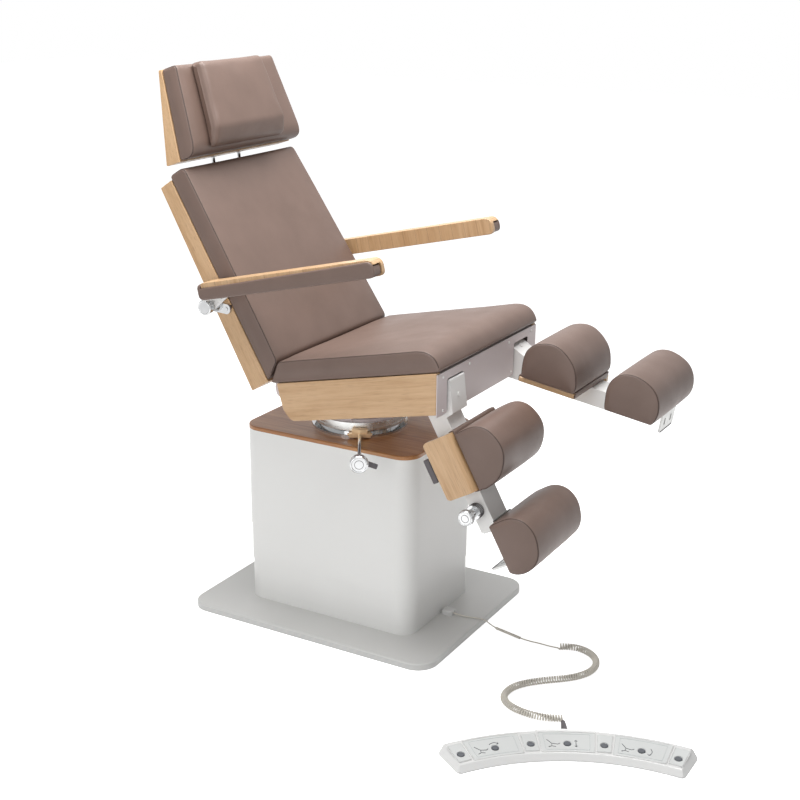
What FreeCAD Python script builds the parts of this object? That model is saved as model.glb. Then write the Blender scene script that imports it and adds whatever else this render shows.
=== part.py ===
import FreeCAD, Part
import math
import os
from FreeCAD import Vector

# Podiatry chair: lifting column, swivelling and tilting seat, reclining back, headrest,
# folding armrests, two leg rests with extending foot rolls, and a foot control on a cord.
# Millimetres. +X is where the patient faces, +Y the patient's left, +Z up.
# The origin is on the floor, on the swivel axis.

os.makedirs("parts", exist_ok=True)

# Base and telescopic column
plate_front = 406.0
plate_rear = -404.0
plate_half_y = 320.5
plate_high = 19.0
plate_corner = 62.0
house_half_x = 283.0
house_half_y = 196.0
house_corner = 54.0
house_wall = 1.8
house_step = 2.2
lower_z = (19.0, 309.0)
middle_z = (140.0, 432.0)
upper_z = (252.0, 551.5)
cover_thick = 11.5
pillar_half = 75.0
pillar_wall = 6.0
pillar_step = 6.5

# Turntable and brake
ring_r = 140.0
hub_r = 118.0
drum_r = 133.0
drum_z = (580.0, 604.0)
carrier_z = 612.0
brake_angle = -59.0
brake_z = 572.5
rod_r = 5.0
rod_tip = 141.0
running = 0.05

# Seat unit: its own frame starts at (0, 763.6) and leans up by the seat angle
seat_angle = 12.2
seat_z = 763.6
seat_half = 300.0
panel_thick = 20.0
tilt_axis_z = 640.0
tilt_pin_r = 10.0
seat_soft = 60.0

# Back unit: n points forward, v up the back
back_angle = 32.5
back_at = (-113.4, 745.5)
back_hinge = (-105.0, 712.0)
back_high = 632.0
back_half_low = 300.0
back_half_drop = 30.0

# Headrest unit
head_angle = 18.5
head_at = (-416.0, 1322.0)
head_hinge = (-460.0, 1345.0)
head_rod_y = 61.5
head_rod_r = 5.5
head_bar_r = 6.0
head_bar_end = 104.0
head_rod_lean = 4.0
pillow_shift = -25.0

# Armrests
arm_angle = 13.36
arm_at = (-298.0, 1010.0)
arm_long = 568.0
arm_in = 307.0
arm_pivot = (-302.0, 936.0)
arm_bolt = (-250.0, 933.0)
arm_knob_scale = 0.88

# Leg rests: s runs along the bar, n is square to it
leg_hinge = (384.0, 781.0)
leg_angles = {"right": -61.0, "left": -9.0}
bar_y = (158.0, 240.0)
bar_n = (-57.0, -7.0)
bar_end = 388.0
bar_wall = 3.0
calf_start = 113.0
calf_y = (20.0, 272.0)
calf_stretch = (1.055, 1.05)
foot_start = 366.0
foot_y = (8.0, 290.0)
foot_stretch = (1.09, 1.07)
lever_swing = {"right": 0.0, "left": -90.0}
leg_pin_r = 8.0
leg_knob_scale = 0.86

# Foot control: a curved bar on the floor
pedal_at = (1180.0, -1012.0)
pedal_mid = 118.5
pedal_span = 57.0
button_pitch = 8.5
button_at = 612.0
button_r = 9.4
flange_r = 11.8
pedal_corner = 15.0

# Cord
lead_r = 2.0
curl_wire_r = 2.3
curl_r = 7.7
curls = 98


# Outlines: a corner is (u, v, radius); radius None rounds as far as its edges allow
def corner_cut(before, here, after, radius):
    """Tangent points and middle of the arc that rounds one corner."""
    ax = before[0] - here[0]
    ay = before[1] - here[1]
    bx = after[0] - here[0]
    by = after[1] - here[1]
    la = math.hypot(ax, ay)
    lb = math.hypot(bx, by)
    cosine = (ax * bx + ay * by) / (la * lb)
    half = math.acos(max(-1.0, min(1.0, cosine))) / 2.0
    reach = 0.45 * min(la, lb)
    if radius is not None:
        reach = min(reach, radius / math.tan(half))
    r = reach * math.tan(half)
    first = (here[0] + ax / la * reach, here[1] + ay / la * reach)
    last = (here[0] + bx / lb * reach, here[1] + by / lb * reach)
    mx = (first[0] + last[0]) / 2.0 - here[0]
    my = (first[1] + last[1]) / 2.0 - here[1]
    lm = math.hypot(mx, my)
    if lm < 1e-4:
        return first, None, last
    depth = r / math.sin(half) - r
    middle = (here[0] + mx / lm * depth, here[1] + my / lm * depth)
    return first, middle, last


def outline(points, place):
    """Closed wire through the corners; place turns (u, v) into a point in space."""
    arcs = []
    count = len(points)
    for i in range(count):
        here = points[i]
        if here[2] is not None and here[2] <= 0.0:
            arcs.append((here[:2], None, here[:2]))
        else:
            arcs.append(corner_cut(points[i - 1], here, points[(i + 1) % count], here[2]))
    edges = []
    for i in range(count):
        first, middle, last = arcs[i]
        following = arcs[(i + 1) % count][0]
        if middle is not None:
            edges.append(Part.Arc(place(*first), place(*middle), place(*last)).toShape())
        elif first != last:
            edges.append(Part.LineSegment(place(*first), place(*last)).toShape())
        if math.hypot(following[0] - last[0], following[1] - last[1]) > 1e-6:
            edges.append(Part.LineSegment(place(*last), place(*following)).toShape())
    return Part.Wire(edges)


def shrink(points, distance):
    """The outline moved inwards by a distance, with smaller corner radii."""
    area = 0.0
    count = len(points)
    for i in range(count):
        area += points[i - 1][0] * points[i][1] - points[i][0] * points[i - 1][1]
    turn = 1.0 if area > 0.0 else -1.0
    result = []
    for i in range(count):
        p = points[i - 1]
        q = points[i]
        s = points[(i + 1) % count]
        l1 = math.hypot(q[0] - p[0], q[1] - p[1])
        l2 = math.hypot(s[0] - q[0], s[1] - q[1])
        n1 = (-(q[1] - p[1]) / l1 * turn, (q[0] - p[0]) / l1 * turn)
        n2 = (-(s[1] - q[1]) / l2 * turn, (s[0] - q[0]) / l2 * turn)
        scale = distance / (1.0 + n1[0] * n2[0] + n1[1] * n2[1])
        radius = q[2]
        if radius is not None and radius > 0.0:
            radius = max(radius - distance, 0.4)
        result.append((q[0] + (n1[0] + n2[0]) * scale, q[1] + (n1[1] + n2[1]) * scale, radius))
    return result


def side_loft(sections):
    """Solid through side profiles; each section is (corners, y as a function of v)."""
    wires = []
    for points, y_at in sections:
        wires.append(outline(points, lambda u, v: Vector(u, y_at(v), v)))
    return Part.makeLoft(wires, True, True)


def flat(y):
    """A section plane at one constant y."""
    return lambda v: y


def side_plate(points, y0, y1):
    """Side profile in the (x, z) plane, extruded from y0 to y1."""
    wire = outline(points, lambda u, v: Vector(u, y0, v))
    return Part.Face(wire).extrude(Vector(0, y1 - y0, 0))


def eased_plate(points, y0, y1, ease):
    """A side plate with both long edges eased by a small bevel."""
    sections = [(shrink(points, ease), flat(y0)), (points, flat(y0 + ease))]
    sections += [(points, flat(y1 - ease)), (shrink(points, ease), flat(y1))]
    return side_loft(sections)


def level_plate(points, z0, z1):
    """Plan outline in the (x, y) plane, extruded from z0 to z1."""
    wire = outline(points, lambda u, v: Vector(u, v, z0))
    return Part.Face(wire).extrude(Vector(0, 0, z1 - z0))


def front_plate(points, x0, x1):
    """Outline in the (y, z) plane, extruded from x0 to x1."""
    wire = outline(points, lambda u, v: Vector(x0, u, v))
    return Part.Face(wire).extrude(Vector(x1 - x0, 0, 0))


def box(x0, x1, y0, y1, z0, z1):
    """Box between two corners."""
    return Part.makeBox(x1 - x0, y1 - y0, z1 - z0, Vector(x0, y0, z0))


def rod(start, end, radius):
    """Cylinder from one point to another."""
    a = Vector(*start)
    b = Vector(*end)
    return Part.makeCylinder(radius, (b - a).Length, a, b - a)


def pin_y(x, z, radius, y0, y1):
    """Cylinder along Y."""
    return rod((x, y0, z), (x, y1, z), radius)


def rectangle(half_x, half_y, radius, middle_x=0.0):
    """Corners of a rounded rectangle."""
    x0 = middle_x - half_x
    x1 = middle_x + half_x
    corners = [(x0, -half_y, radius), (x1, -half_y, radius)]
    return corners + [(x1, half_y, radius), (x0, half_y, radius)]


def lean(shape, angle, at):
    """Moves a shape built in a unit's own frame to its place in the chair."""
    shape.rotate(Vector(0, 0, 0), Vector(0, 1, 0), -angle)
    shape.translate(Vector(at[0], 0, at[1]))
    return shape


def to_unit(point, angle, at):
    """World (x, z) in a unit's own frame."""
    c = math.cos(math.radians(angle))
    s = math.sin(math.radians(angle))
    dx = point[0] - at[0]
    dz = point[1] - at[1]
    return dx * c + dz * s, dz * c - dx * s


def mirrored(shape):
    """The same shape on the other side of the chair."""
    return shape.mirror(Vector(0, 0, 0), Vector(0, 1, 0))


def both_sides(shape):
    """A shape and its mirror image in one node."""
    return Part.makeCompound([shape, mirrored(shape)])


def write(name, shape):
    """Saves one node."""
    if shape.ShapeType == "Compound" and len(shape.Solids) == 1:
        shape = shape.Solids[0]
    print(name, shape.isValid(), len(shape.Solids), round(shape.Volume / 1000.0, 1), "cm3")
    shape.exportStep("parts/" + name + ".step")


# Base plate with an eased top edge
mid_x = (plate_front + plate_rear) / 2.0
half_x = (plate_front - plate_rear) / 2.0
plate = level_plate(rectangle(half_x, plate_half_y, plate_corner, mid_x), 0.0, plate_high - 3.0)
rim = rectangle(half_x, plate_half_y, plate_corner, mid_x)
low_wire = outline(rim, lambda u, v: Vector(u, v, plate_high - 3.0))
high_wire = outline(shrink(rim, 3.0), lambda u, v: Vector(u, v, plate_high))
plate = plate.fuse(Part.makeLoft([low_wire, high_wire], True, True)).removeSplitter()
write("base_plate", plate)


# Telescopic covers; each stage is a rounded tube inside the one above
def cover_tube(stage, z0, z1):
    """Wall of one telescopic cover; stage 0 is the outermost."""
    inset = stage * house_step
    outer = rectangle(house_half_x - inset, house_half_y - inset, house_corner - inset)
    inner = shrink(outer, house_wall)
    return level_plate(outer, z0, z1).cut(level_plate(inner, z0 - 1.0, z1 + 1.0))


def square_tube(stage, z0, z1):
    """One stage of the square lifting pillar in the middle."""
    outer = pillar_half - stage * pillar_step
    inner = outer - pillar_wall
    wall = box(-outer, outer, -outer, outer, z0, z1)
    return wall.cut(box(-inner, inner, -inner, inner, z0 - 1.0, z1 + 1.0))


lower_inner = shrink(rectangle(house_half_x - 4.4, house_half_y - 4.4, house_corner - 4.4), 1.8)
lower_foot = level_plate(lower_inner, lower_z[0], lower_z[0] + 3.0)
lower_foot = lower_foot.cut(box(-250, 250, -160, 160, 0, 40))
write("lower_housing", cover_tube(2, *lower_z).fuse(lower_foot))

pillar_flange = box(-110, 110, -110, 110, 19, 29).cut(box(-69, 69, -69, 69, 10, 40))
write("lift_pillar_lower", square_tube(0, 19.0, 310.0).fuse(pillar_flange))

# The middle cover carries the middle pillar stage on two straps near its top
middle_cover = cover_tube(1, *middle_z)
middle_wall = house_half_y - house_step - house_wall
middle_pillar = square_tube(1, 134.0, 431.0)
middle_out = pillar_half - pillar_step
strap = box(-30, 30, middle_out - 1.0, middle_wall + 0.5, 425, 431)
middle_cover = middle_cover.fuse([middle_pillar, strap, mirrored(strap)])
write("middle_housing", middle_cover)

upper_roof = shrink(rectangle(house_half_x, house_half_y, house_corner), house_wall)
roof = level_plate(upper_roof, upper_z[1] - 3.0, upper_z[1])
shaft_hole = rod((0, 0, 500), (0, 0, 600), 40.0)
roof = roof.cut(shaft_hole)
upper_cover = cover_tube(0, *upper_z)
write("upper_housing", upper_cover.fuse([roof, square_tube(2, 248.0, upper_z[1] - 2.0)]))

cover_low = rectangle(house_half_x, house_half_y, house_corner)
cover_top = upper_z[1] + cover_thick
cover_board = level_plate(cover_low, upper_z[1], cover_top - 2.5)
cover_wires = [outline(cover_low, lambda u, v: Vector(u, v, cover_top - 2.5))]
cover_wires.append(outline(shrink(cover_low, 2.5), lambda u, v: Vector(u, v, cover_top)))
cover_board = cover_board.fuse(Part.makeLoft(cover_wires, True, True)).removeSplitter()
write("top_cover", cover_board.cut(shaft_hole))


# Turntable: fixed ring and hub, turning drum above them
def disc(radius, z0, z1):
    """Flat round disc."""
    return rod((0, 0, z0), (0, 0, z1), radius)


base_ring = disc(ring_r, cover_top, cover_top + 4.0)
ring_lip = disc(ring_r, cover_top + 4.0, cover_top + 6.0).cut(disc(ring_r - 3.0, 560, 600))
hub = disc(hub_r, cover_top + 4.0, drum_z[0] - 0.4)
hub_bore = disc(20.0 + running, 550, 600)
write("turntable_base", base_ring.fuse([ring_lip, hub]).cut(hub_bore))

spigot = disc(20.0, cover_top + 1.0, drum_z[0])
drum = disc(drum_r, drum_z[0], drum_z[1]).fuse(spigot)
groove = disc(drum_r + 5.0, drum_z[0] + 8.0, drum_z[0] + 10.0).cut(disc(drum_r - 1.5, 560, 620))
write("turntable_drum", drum.cut(groove))

# Brake, built along X and turned to its place: clamp blocks, screw with its round knob,
# and a flat lever behind the knob
clamp = box(119.5, 152, -31, 31, cover_top + 4.0, 578).cut(disc(hub_r + 0.5, 550, 600))
clamp = clamp.cut(disc(ring_r + 0.3, 550, cover_top + 6.2).cut(disc(ring_r - 3.3, 540, 600)))
upper_block = box(134.5, 150, -22, 22, 578, 590).cut(disc(drum_r + 0.8, 550, 600))
clamp = clamp.fuse(upper_block)
for side in (-1, 1):
    clamp = clamp.fuse(rod((143, side * 30, 573.5), (143, side * 35, 573.5), 4.0))
clamp = clamp.cut(rod((rod_tip - 1.0, 0, brake_z), (160, 0, brake_z), rod_r + running))
clamp.rotate(Vector(0, 0, 0), Vector(0, 0, 1), brake_angle)
write("brake_clamp", clamp)


def turned(points, x0):
    """Round body about X from a half outline of (distance behind the face, radius)."""
    wire = outline(points, lambda u, v: Vector(x0 - u, 0, v))
    return Part.Face(wire).revolve(Vector(x0, 0, 0), Vector(1, 0, 0), 360)


knob_shape = [(0.0, 0.0, 0.0), (0.0, 19.0, 1.5), (-1.5, 20.5, 1.0), (-1.5, 22.0, 1.0)]
knob_shape += [(2.0, 25.0, 2.5), (18.0, 25.0, 3.0), (24.0, 14.0, 3.0), (24.0, 0.0, 0.0)]
knob = turned(knob_shape, 384.0)
knob = knob.fuse(rod((rod_tip, 0, 0), (362, 0, 0), rod_r))
knob.translate(Vector(0, 0, brake_z))
knob.rotate(Vector(0, 0, 0), Vector(0, 0, 1), brake_angle)
write("brake_knob", knob)

lever_rim = [(-9, -7, 5), (52, -7, 3), (52, 7, 3), (-9, 7, 5)]
lever = front_plate(lever_rim, 350.0, 354.0)
lever = lever.cut(rod((340, 0, 0), (360, 0, 0), rod_r))
lever.rotate(Vector(0, 0, 0), Vector(1, 0, 0), -20)
lever.translate(Vector(0, 0, brake_z))
lever.rotate(Vector(0, 0, 0), Vector(0, 0, 1), brake_angle)
write("brake_lever", lever)

# Tilt carrier on the drum: two ears with the pivot bore
ear_r = 19.5
ear_foot = [(-50, carrier_z - 1, 0), (50, carrier_z - 1, 0), (19, tilt_axis_z + 3, 0)]
ear_foot.append((-19, tilt_axis_z + 3, 0))
ear = side_plate(ear_foot, 100.0, 125.0).fuse(pin_y(0, tilt_axis_z, ear_r, 100.0, 125.0))
carrier = disc(126.0, drum_z[1], carrier_z).fuse([ear, mirrored(ear)])
carrier = carrier.cut(pin_y(0, tilt_axis_z, tilt_pin_r + running, -140, 140))
write("tilt_carrier", carrier)

# Seat frame in its own tilted frame: a closed box with two open bays for the leg hinges
pivot_a, pivot_b = to_unit((0.0, tilt_axis_z), seat_angle, (0.0, seat_z))
hinge_a, hinge_b = to_unit(leg_hinge, seat_angle, (0.0, seat_z))
rest_a, rest_b = to_unit(back_hinge, seat_angle, (0.0, seat_z))
frame_rear = -78.0
frame_front = 397.0
frame_low = -98.0
bay_rear = 290.0
bay_y = (155.0, 243.0)
sheet = 3.0
frame_rim = [(frame_rear, 0, 0), (400, 0, 0), (frame_front, frame_low, 0)]
frame_rim.append((frame_rear, frame_low, 0))
seat_frame = side_plate(frame_rim, -280, 280)
roof = -4.0
floor_b = frame_low + sheet
rooms = [(frame_rear + sheet, bay_rear - sheet, -277.0, 277.0)]
rooms.append((bay_rear, frame_front - sheet, -bay_y[0] + sheet, bay_y[0] - sheet))
for y0, y1 in ((bay_y[1] + sheet, 277.0), (-277.0, -bay_y[1] - sheet)):
    rooms.append((bay_rear, frame_front - sheet, y0, y1))
for a0, a1, y0, y1 in rooms:
    seat_frame = seat_frame.cut(box(a0, a1, y0, y1, floor_b, roof))
bay = box(bay_rear, 430, bay_y[0], bay_y[1], frame_low - 5, roof)
seat_frame = seat_frame.cut(bay).cut(mirrored(bay))
hanger_shape = [(-70, frame_low + 1, 0), (20, frame_low + 1, 0)]
hanger_shape += [(pivot_a + 20, pivot_b - 21, 20), (pivot_a - 20, pivot_b - 21, 20)]
hanger = side_plate(hanger_shape, 127.5, 137.5)
seat_parts = [hanger, mirrored(hanger)]
back_ear_shape = [(-76, -8, 0), (-76, -75, 0), (-133, -45, 16), (-133, -11, 12)]
for y0, y1 in ((213.0, 223.0), (237.0, 247.0)):
    back_ear = side_plate(back_ear_shape, y0, y1)
    seat_parts += [back_ear, mirrored(back_ear)]
leg_pin = pin_y(hinge_a, hinge_b, leg_pin_r, bay_y[0] - 1.0, bay_y[1] + 1.0)
back_pin = pin_y(rest_a, rest_b, 8.0, 213, 247)
seat_parts += [leg_pin, mirrored(leg_pin), back_pin, mirrored(back_pin)]
seat_parts.append(pin_y(pivot_a, pivot_b, tilt_pin_r, -137.5, 137.5))
write("seat_frame", lean(seat_frame.fuse(seat_parts), seat_angle, (0.0, seat_z)))

panel_shape = [(-87, 0, 3), (-82, -74, 22), (-62, -108, 22), (397, -110, 4), (420.8, 0, 2)]
panel = eased_plate(panel_shape, seat_half - panel_thick, seat_half, 1.5)
write("side_panels", both_sides(lean(panel, seat_angle, (0.0, seat_z))))

# Front apron: upright sheet over the panels' front ends, with two windows for the leg rests
apron = box(412, 414, -seat_half, seat_half, 734, 848)
for side in (-1, 1):
    window = [(side * 154, 700, 0), (side * 246, 700, 0), (side * 246, 825, 8)]
    window.append((side * 154, 825, 8))
    apron = apron.cut(front_plate(window, 380, 440))
lip = box(396, 413, -280, 280, 732, 734.5)
for side in (-1, 1):
    lip = lip.cut(box(380, 440, min(side * 154, side * 246), max(side * 154, side * 246), 700, 760))
apron = apron.fuse(lip)
apron = apron.fuse(box(394, 413, -280, 280, 845.5, 848))
write("front_apron", apron)


# Soft parts: side profiles lofted across the width, fuller in the middle
def seat_profile(swell, inset):
    """Seat cushion outline; swell lifts the middle of the top."""
    top = seat_soft
    points = [(-111.0, 1.2, 6.0), (432.0, 1.2, 8.0), (431.0, 22.0, None)]
    points += [(421.0, 43.0, None), (401.0, 57.0, None), (374.0, top + 1.5, None)]
    points += [(300.0, top + swell * 0.6, None), (160.0, top + swell, None)]
    points += [(0.0, top + swell * 0.7, None), (-74.0, top - 1.0, 9.0)]
    return shrink(points, inset) if inset > 0.0 else points


def across(profile, half, swell_top, steps):
    """Sections from one side to the other; half is the half width as a function of v."""
    sections = []
    for share, swell, inset in steps:
        sections.append((share, swell * swell_top, inset))
    full = []
    for share, swell, inset in reversed(sections):
        full.append((profile(swell, inset), lambda v, k=-share: k * half(v)))
    for share, swell, inset in sections[1:]:
        full.append((profile(swell, inset), lambda v, k=share: k * half(v)))
    return side_loft(full)


soft_steps = [(0.0, 1.0, 0.0), (0.3, 0.93, 0.0), (0.55, 0.72, 0.0), (0.78, 0.4, 0.0)]
soft_steps += [(0.93, 0.12, 0.0), (0.972, 0.0, 0.6), (0.991, 0.0, 2.6), (1.0, 0.0, 5.5)]
seat_pad = across(seat_profile, lambda v: seat_half, 7.0, soft_steps)
write("seat_cushion", lean(seat_pad, seat_angle, (0.0, seat_z)))


# Back: wood wedge behind, cushion in front, two hinge arms let into the wood
def back_half(v):
    """Half width of the back at a height."""
    return back_half_low - back_half_drop * v / 630.0


def back_profile(swell, inset):
    """Back cushion outline."""
    points = [(0.8, 1.4, 2.0), (57.0, 36.5, 12.0), (58.0 + swell * 0.7, 170.0, None)]
    points += [(58.0 + swell, 330.0, None), (58.0 + swell * 0.7, 500.0, None)]
    points += [(57.0, back_high, 16.0), (0.8, back_high, 5.0)]
    return shrink(points, inset) if inset > 0.0 else points


shell_shape = [(0, 0, 2), (0, 618, 2), (-46, 617, 4), (-64, 0, 4)]
shell_steps = [(0.0, 0.0, 0.0), (0.994, 0.0, 0.0), (1.0, 0.0, 1.8)]
back_shell = across(lambda swell, inset: shrink(shell_shape, inset), back_half, 0.0, shell_steps)
knuckle_n, knuckle_v = to_unit(back_hinge, back_angle, back_at)
slot = box(-30.2, 5, 224.8, 235.2, -5, 220)
back_shell = back_shell.cut(slot).cut(mirrored(slot))
back_arm = box(-30, -1.5, 225, 235, -20, 220)
back_arm = back_arm.fuse(pin_y(knuckle_n, knuckle_v, 17.0, 225, 235))
web_shape = [(-30, -12, 0), (knuckle_n - 16, knuckle_v, 3), (knuckle_n + 16, knuckle_v, 3)]
web_shape.append((-1.5, -12, 0))
back_arm = back_arm.fuse(side_plate(web_shape, 225, 235))
back_arm = back_arm.cut(pin_y(knuckle_n, knuckle_v, 8.0 + running, 200, 260))
write("back_frame", both_sides(lean(back_arm, back_angle, back_at)))

# The headrest rods run down into bores in the top of the wood wedge
rod_x = math.sin(math.radians(head_rod_lean))
rod_z = math.cos(math.radians(head_rod_lean))


def along_rod(distance, y):
    """Point on a headrest rod, measured from the headrest hinge; minus is down."""
    return (head_hinge[0] - rod_x * distance, y, head_hinge[1] + rod_z * distance)


back_shell = lean(back_shell, back_angle, back_at)
back_pad = lean(across(back_profile, back_half, 6.0, soft_steps), back_angle, back_at)
for side in (-1, 1):
    y = side * head_rod_y
    bore = rod(along_rod(-143.0, y), along_rod(20.0, y), head_rod_r + running)
    back_shell = back_shell.cut(bore)
    back_pad = back_pad.cut(rod(along_rod(-160.0, y), along_rod(40.0, y), 8.0))

# Armrest pivots: a lug let into the back's side, a stub and a round knob
pivot_n, pivot_v = to_unit(arm_pivot, back_angle, back_at)
bolt_n, bolt_v = to_unit(arm_bolt, back_angle, back_at)


def bar_between(u0, v0, u1, v1, radius, y0, y1):
    """Flat bar with round ends between two points of the side view."""
    length = math.hypot(u1 - u0, v1 - v0)
    cu = (u1 - u0) / length * radius
    cv = (v1 - v0) / length * radius
    corners = [(u0 - cu + cv, v0 - cv - cu, radius * 0.98)]
    corners.append((u1 + cu + cv, v1 + cv - cu, radius * 0.98))
    corners.append((u1 + cu - cv, v1 + cv + cu, radius * 0.98))
    corners.append((u0 - cu - cv, v0 - cv + cu, radius * 0.98))
    return side_plate(corners, y0, y1)


lug = bar_between(pivot_n, pivot_v, bolt_n, bolt_v, 14.0, 284.0, 298.0)
lug_room = lean(lug.copy(), back_angle, back_at)
back_shell = back_shell.cut(lug_room).cut(mirrored(lug_room))
back_pad = back_pad.cut(lug_room).cut(mirrored(lug_room))
write("back_shell", back_shell)
write("back_cushion", back_pad)

arm_knob = turned(knob_shape, 328.0)
arm_knob = arm_knob.common(box(307, 340, -30, 30, -30, 30))
arm_knob.scale(arm_knob_scale, Vector(328, 0, 0))
arm_knob.rotate(Vector(0, 0, 0), Vector(0, 0, 1), 90)
arm_knob.translate(Vector(arm_pivot[0], 0, arm_pivot[1]))
stub = pin_y(arm_pivot[0], arm_pivot[1], 5.0, 297.0, 320.0)
bolt = pin_y(arm_bolt[0], arm_bolt[1], 6.0, 297.0, 300.0)
write("arm_pivots", both_sides(lug_room.fuse([arm_knob, stub, bolt])))

# Armrests in their own tilted frame: s forward, t up, top face at t = 0
arm_n, arm_t = to_unit(arm_pivot, arm_angle, arm_at)
foot_shape = [(-36, -80, 12), (-34, -60, 12), (-6, -48, 0), (56, -48, 0), (-12, -86, 8)]
bracket = side_plate(foot_shape, 299.0, 303.0)
bracket = bracket.fuse(pin_y(arm_n, arm_t, 15.0, 299.0, 303.0))
bracket = bracket.fuse(box(-5, 57, 299, 345, -51, -48))
bracket = bracket.cut(pin_y(arm_n, arm_t, 5.0 + running, 290, 310))
arm_side = [(5, -48, 6), (arm_long, -48, 13), (arm_long, 0, 24), (5, 0, 8)]
arm_wood = eased_plate(arm_side, arm_in, 354.5, 1.2)
pocket = [(-20, -60, 0), (600, -60, 0), (600, -13, 0), (-20, -13, 0)]
arm_wood = arm_wood.cut(side_plate(pocket, 321.0, 360.0))
core_side = [(-5, -46.8, 10), (566, -46.8, 10), (566, -13.6, 8), (-5, -13.6, 0.5)]
lip_side = [(-6, -47, 17), (567.5, -47, 12), (567.5, -4, 21), (-6, -14, 15)]
arm_core = side_plate(core_side, 321.8, 356.5)
lip_steps = [(lip_side, flat(355.1)), (lip_side, flat(357.5)), (shrink(lip_side, 0.8), flat(359.5))]
lip_steps.append((shrink(lip_side, 3.0), flat(361.0)))
arm_pad = arm_core.fuse(side_loft(lip_steps))
rear_cap = [(-6, -47, 17), (4.2, -47, 0), (4.2, -2.5, 0), (-6, -2.5, 12)]
arm_pad = arm_pad.fuse(side_plate(rear_cap, arm_in + 2.0, 357.0))
for side in ("right", "left"):
    for name, shape in (("bracket", bracket), ("board", arm_wood), ("pad", arm_pad)):
        placed = lean(shape.copy(), arm_angle, arm_at)
        if side == "right":
            placed = mirrored(placed)
        write("arm_" + name + "_" + side, placed)

# Headrest in its own tilted frame
hinge_n, hinge_v = to_unit(head_hinge, head_angle, head_at)


def head_half(v):
    """Half width of the headrest at a height."""
    return 267.0 - 36.0 * (v + 4.0) / 254.0


def pillow_half(v):
    """Half width of the neck pillow at a height."""
    return 162.0 - 20.0 * (v - 8.0) / 242.0


def head_profile(swell, inset):
    """Headrest cushion outline."""
    points = [(0.8, -2.0, 3.0), (34.0, -2.0, None), (50.0, 8.0, None), (56.0, 29.0, None)]
    points += [(55.0 + swell * 0.8, 100.0, None), (53.0 + swell, 170.0, None)]
    points += [(51.0, 252.0, 9.0), (0.8, 252.0, 4.0)]
    return shrink(points, inset) if inset > 0.0 else points


def pillow_profile(swell, inset):
    """Neck pillow outline: a nearly even thickness, turned under at the bottom."""
    points = [(57.8, 10.0, 4.0), (73.0, 12.0, None), (88.0, 28.0, None)]
    points += [(93.0 + swell, 60.0, None), (94.0 + swell, 115.0, None)]
    points += [(94.0 + swell, 180.0, None), (91.5, 249.0, 14.0), (53.2, 249.0, 5.0)]
    points.append((58.4, 100.0, None))
    return shrink(points, inset) if inset > 0.0 else points


wood_shape = [(0, -4, 2), (0, 251, 2), (-11, 251, 3), (-50, -4, 4)]
head_wood = across(lambda swell, inset: shrink(wood_shape, inset), head_half, 0.0, shell_steps)
for side in (-1, 1):
    y0, y1 = sorted((side * 52.5, side * 70.5))
    head_wood = head_wood.cut(box(-70, -23.5, y0, y1, -10, 46))
bar_room = head_bar_end + 0.5
head_wood = head_wood.cut(pin_y(hinge_n, hinge_v, head_bar_r + running, -bar_room, bar_room))
head_pad = across(head_profile, head_half, 2.0, soft_steps)
pillow_steps = [(0.0, 1.0, 0.0), (0.35, 0.9, 0.0), (0.7, 0.4, 0.0), (0.9, 0.0, 0.8)]
pillow_steps += [(0.97, 0.0, 2.6), (1.0, 0.0, 4.5)]
pillow = across(pillow_profile, pillow_half, 2.5, pillow_steps)
pillow.translate(Vector(0, pillow_shift, 0))
write("head_shell", lean(head_wood, head_angle, head_at))
write("head_cushion", lean(head_pad, head_angle, head_at))
write("head_pillow", lean(pillow, head_angle, head_at))
rods = pin_y(head_hinge[0], head_hinge[1], head_bar_r, -head_bar_end, head_bar_end)
for side in (-1, 1):
    y = side * head_rod_y
    rods = rods.fuse(rod(along_rod(-131.0, y), along_rod(0.0, y), head_rod_r))
write("head_rods", rods)
print("headrest rods reach into the back by",
      round(131.0 - (head_hinge[1] - 1262.0) / rod_z, 1), "mm")

# Leg rests, built for the left side in the frame of the bar: s along, n square to it
bar_y0, bar_y1 = bar_y
bar_n0, bar_n1 = bar_n
leg_bar = box(0, bar_end, bar_y0, bar_y1, bar_n0, bar_n1)
leg_bar = leg_bar.fuse(pin_y(0, 0, 30.0, bar_y0, bar_y1))
hinge_block = [(-20, 50, 4), (66, 15, 3), (70, -10, 0), (-4, -10, 0), (-24, 20, 6)]
leg_bar = leg_bar.fuse(side_plate(hinge_block, bar_y0, bar_y1))
middle_y = (bar_y0 + bar_y1) / 2.0
leg_bar = leg_bar.fuse(rod((24, middle_y, 28), (26.3, middle_y, 33.7), 5.5))
cavity = box(36, bar_end + 5, bar_y0 + bar_wall, bar_y1 - bar_wall, bar_n0 + 3, bar_n1 - 3)
leg_bar = leg_bar.cut(cavity)
leg_bar = leg_bar.cut(pin_y(0, 0, leg_pin_r + running, 140, 260))
knob_s = 325.0
knob_n = -38.0
leg_bar = leg_bar.cut(pin_y(knob_s, knob_n, 6.0 + running, bar_y1 - 10, 260))

board_edge = [(30, -7, 5), (160, -7, 1), (271, -7, 12), (271, -84, 1.5), (285, -84, 4)]
board_edge += [(285, 8.5, 24), (30, 8.5, 4)]
board_wire = outline(board_edge, lambda u, v: Vector(107, u, v))
calf_board = Part.Face(board_wire).extrude(Vector(165, 0, 0))
board_rim = [(107, -84, 14), (272, -84, 14), (272, 20, 0), (107, 20, 0)]
calf_board = calf_board.common(side_plate(board_rim, 0, 400))
grip_s = 175.0
grip_n = -60.0
calf_board = calf_board.cut(pin_y(grip_s, grip_n, 4.0 + running, 260, 279.5))

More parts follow.
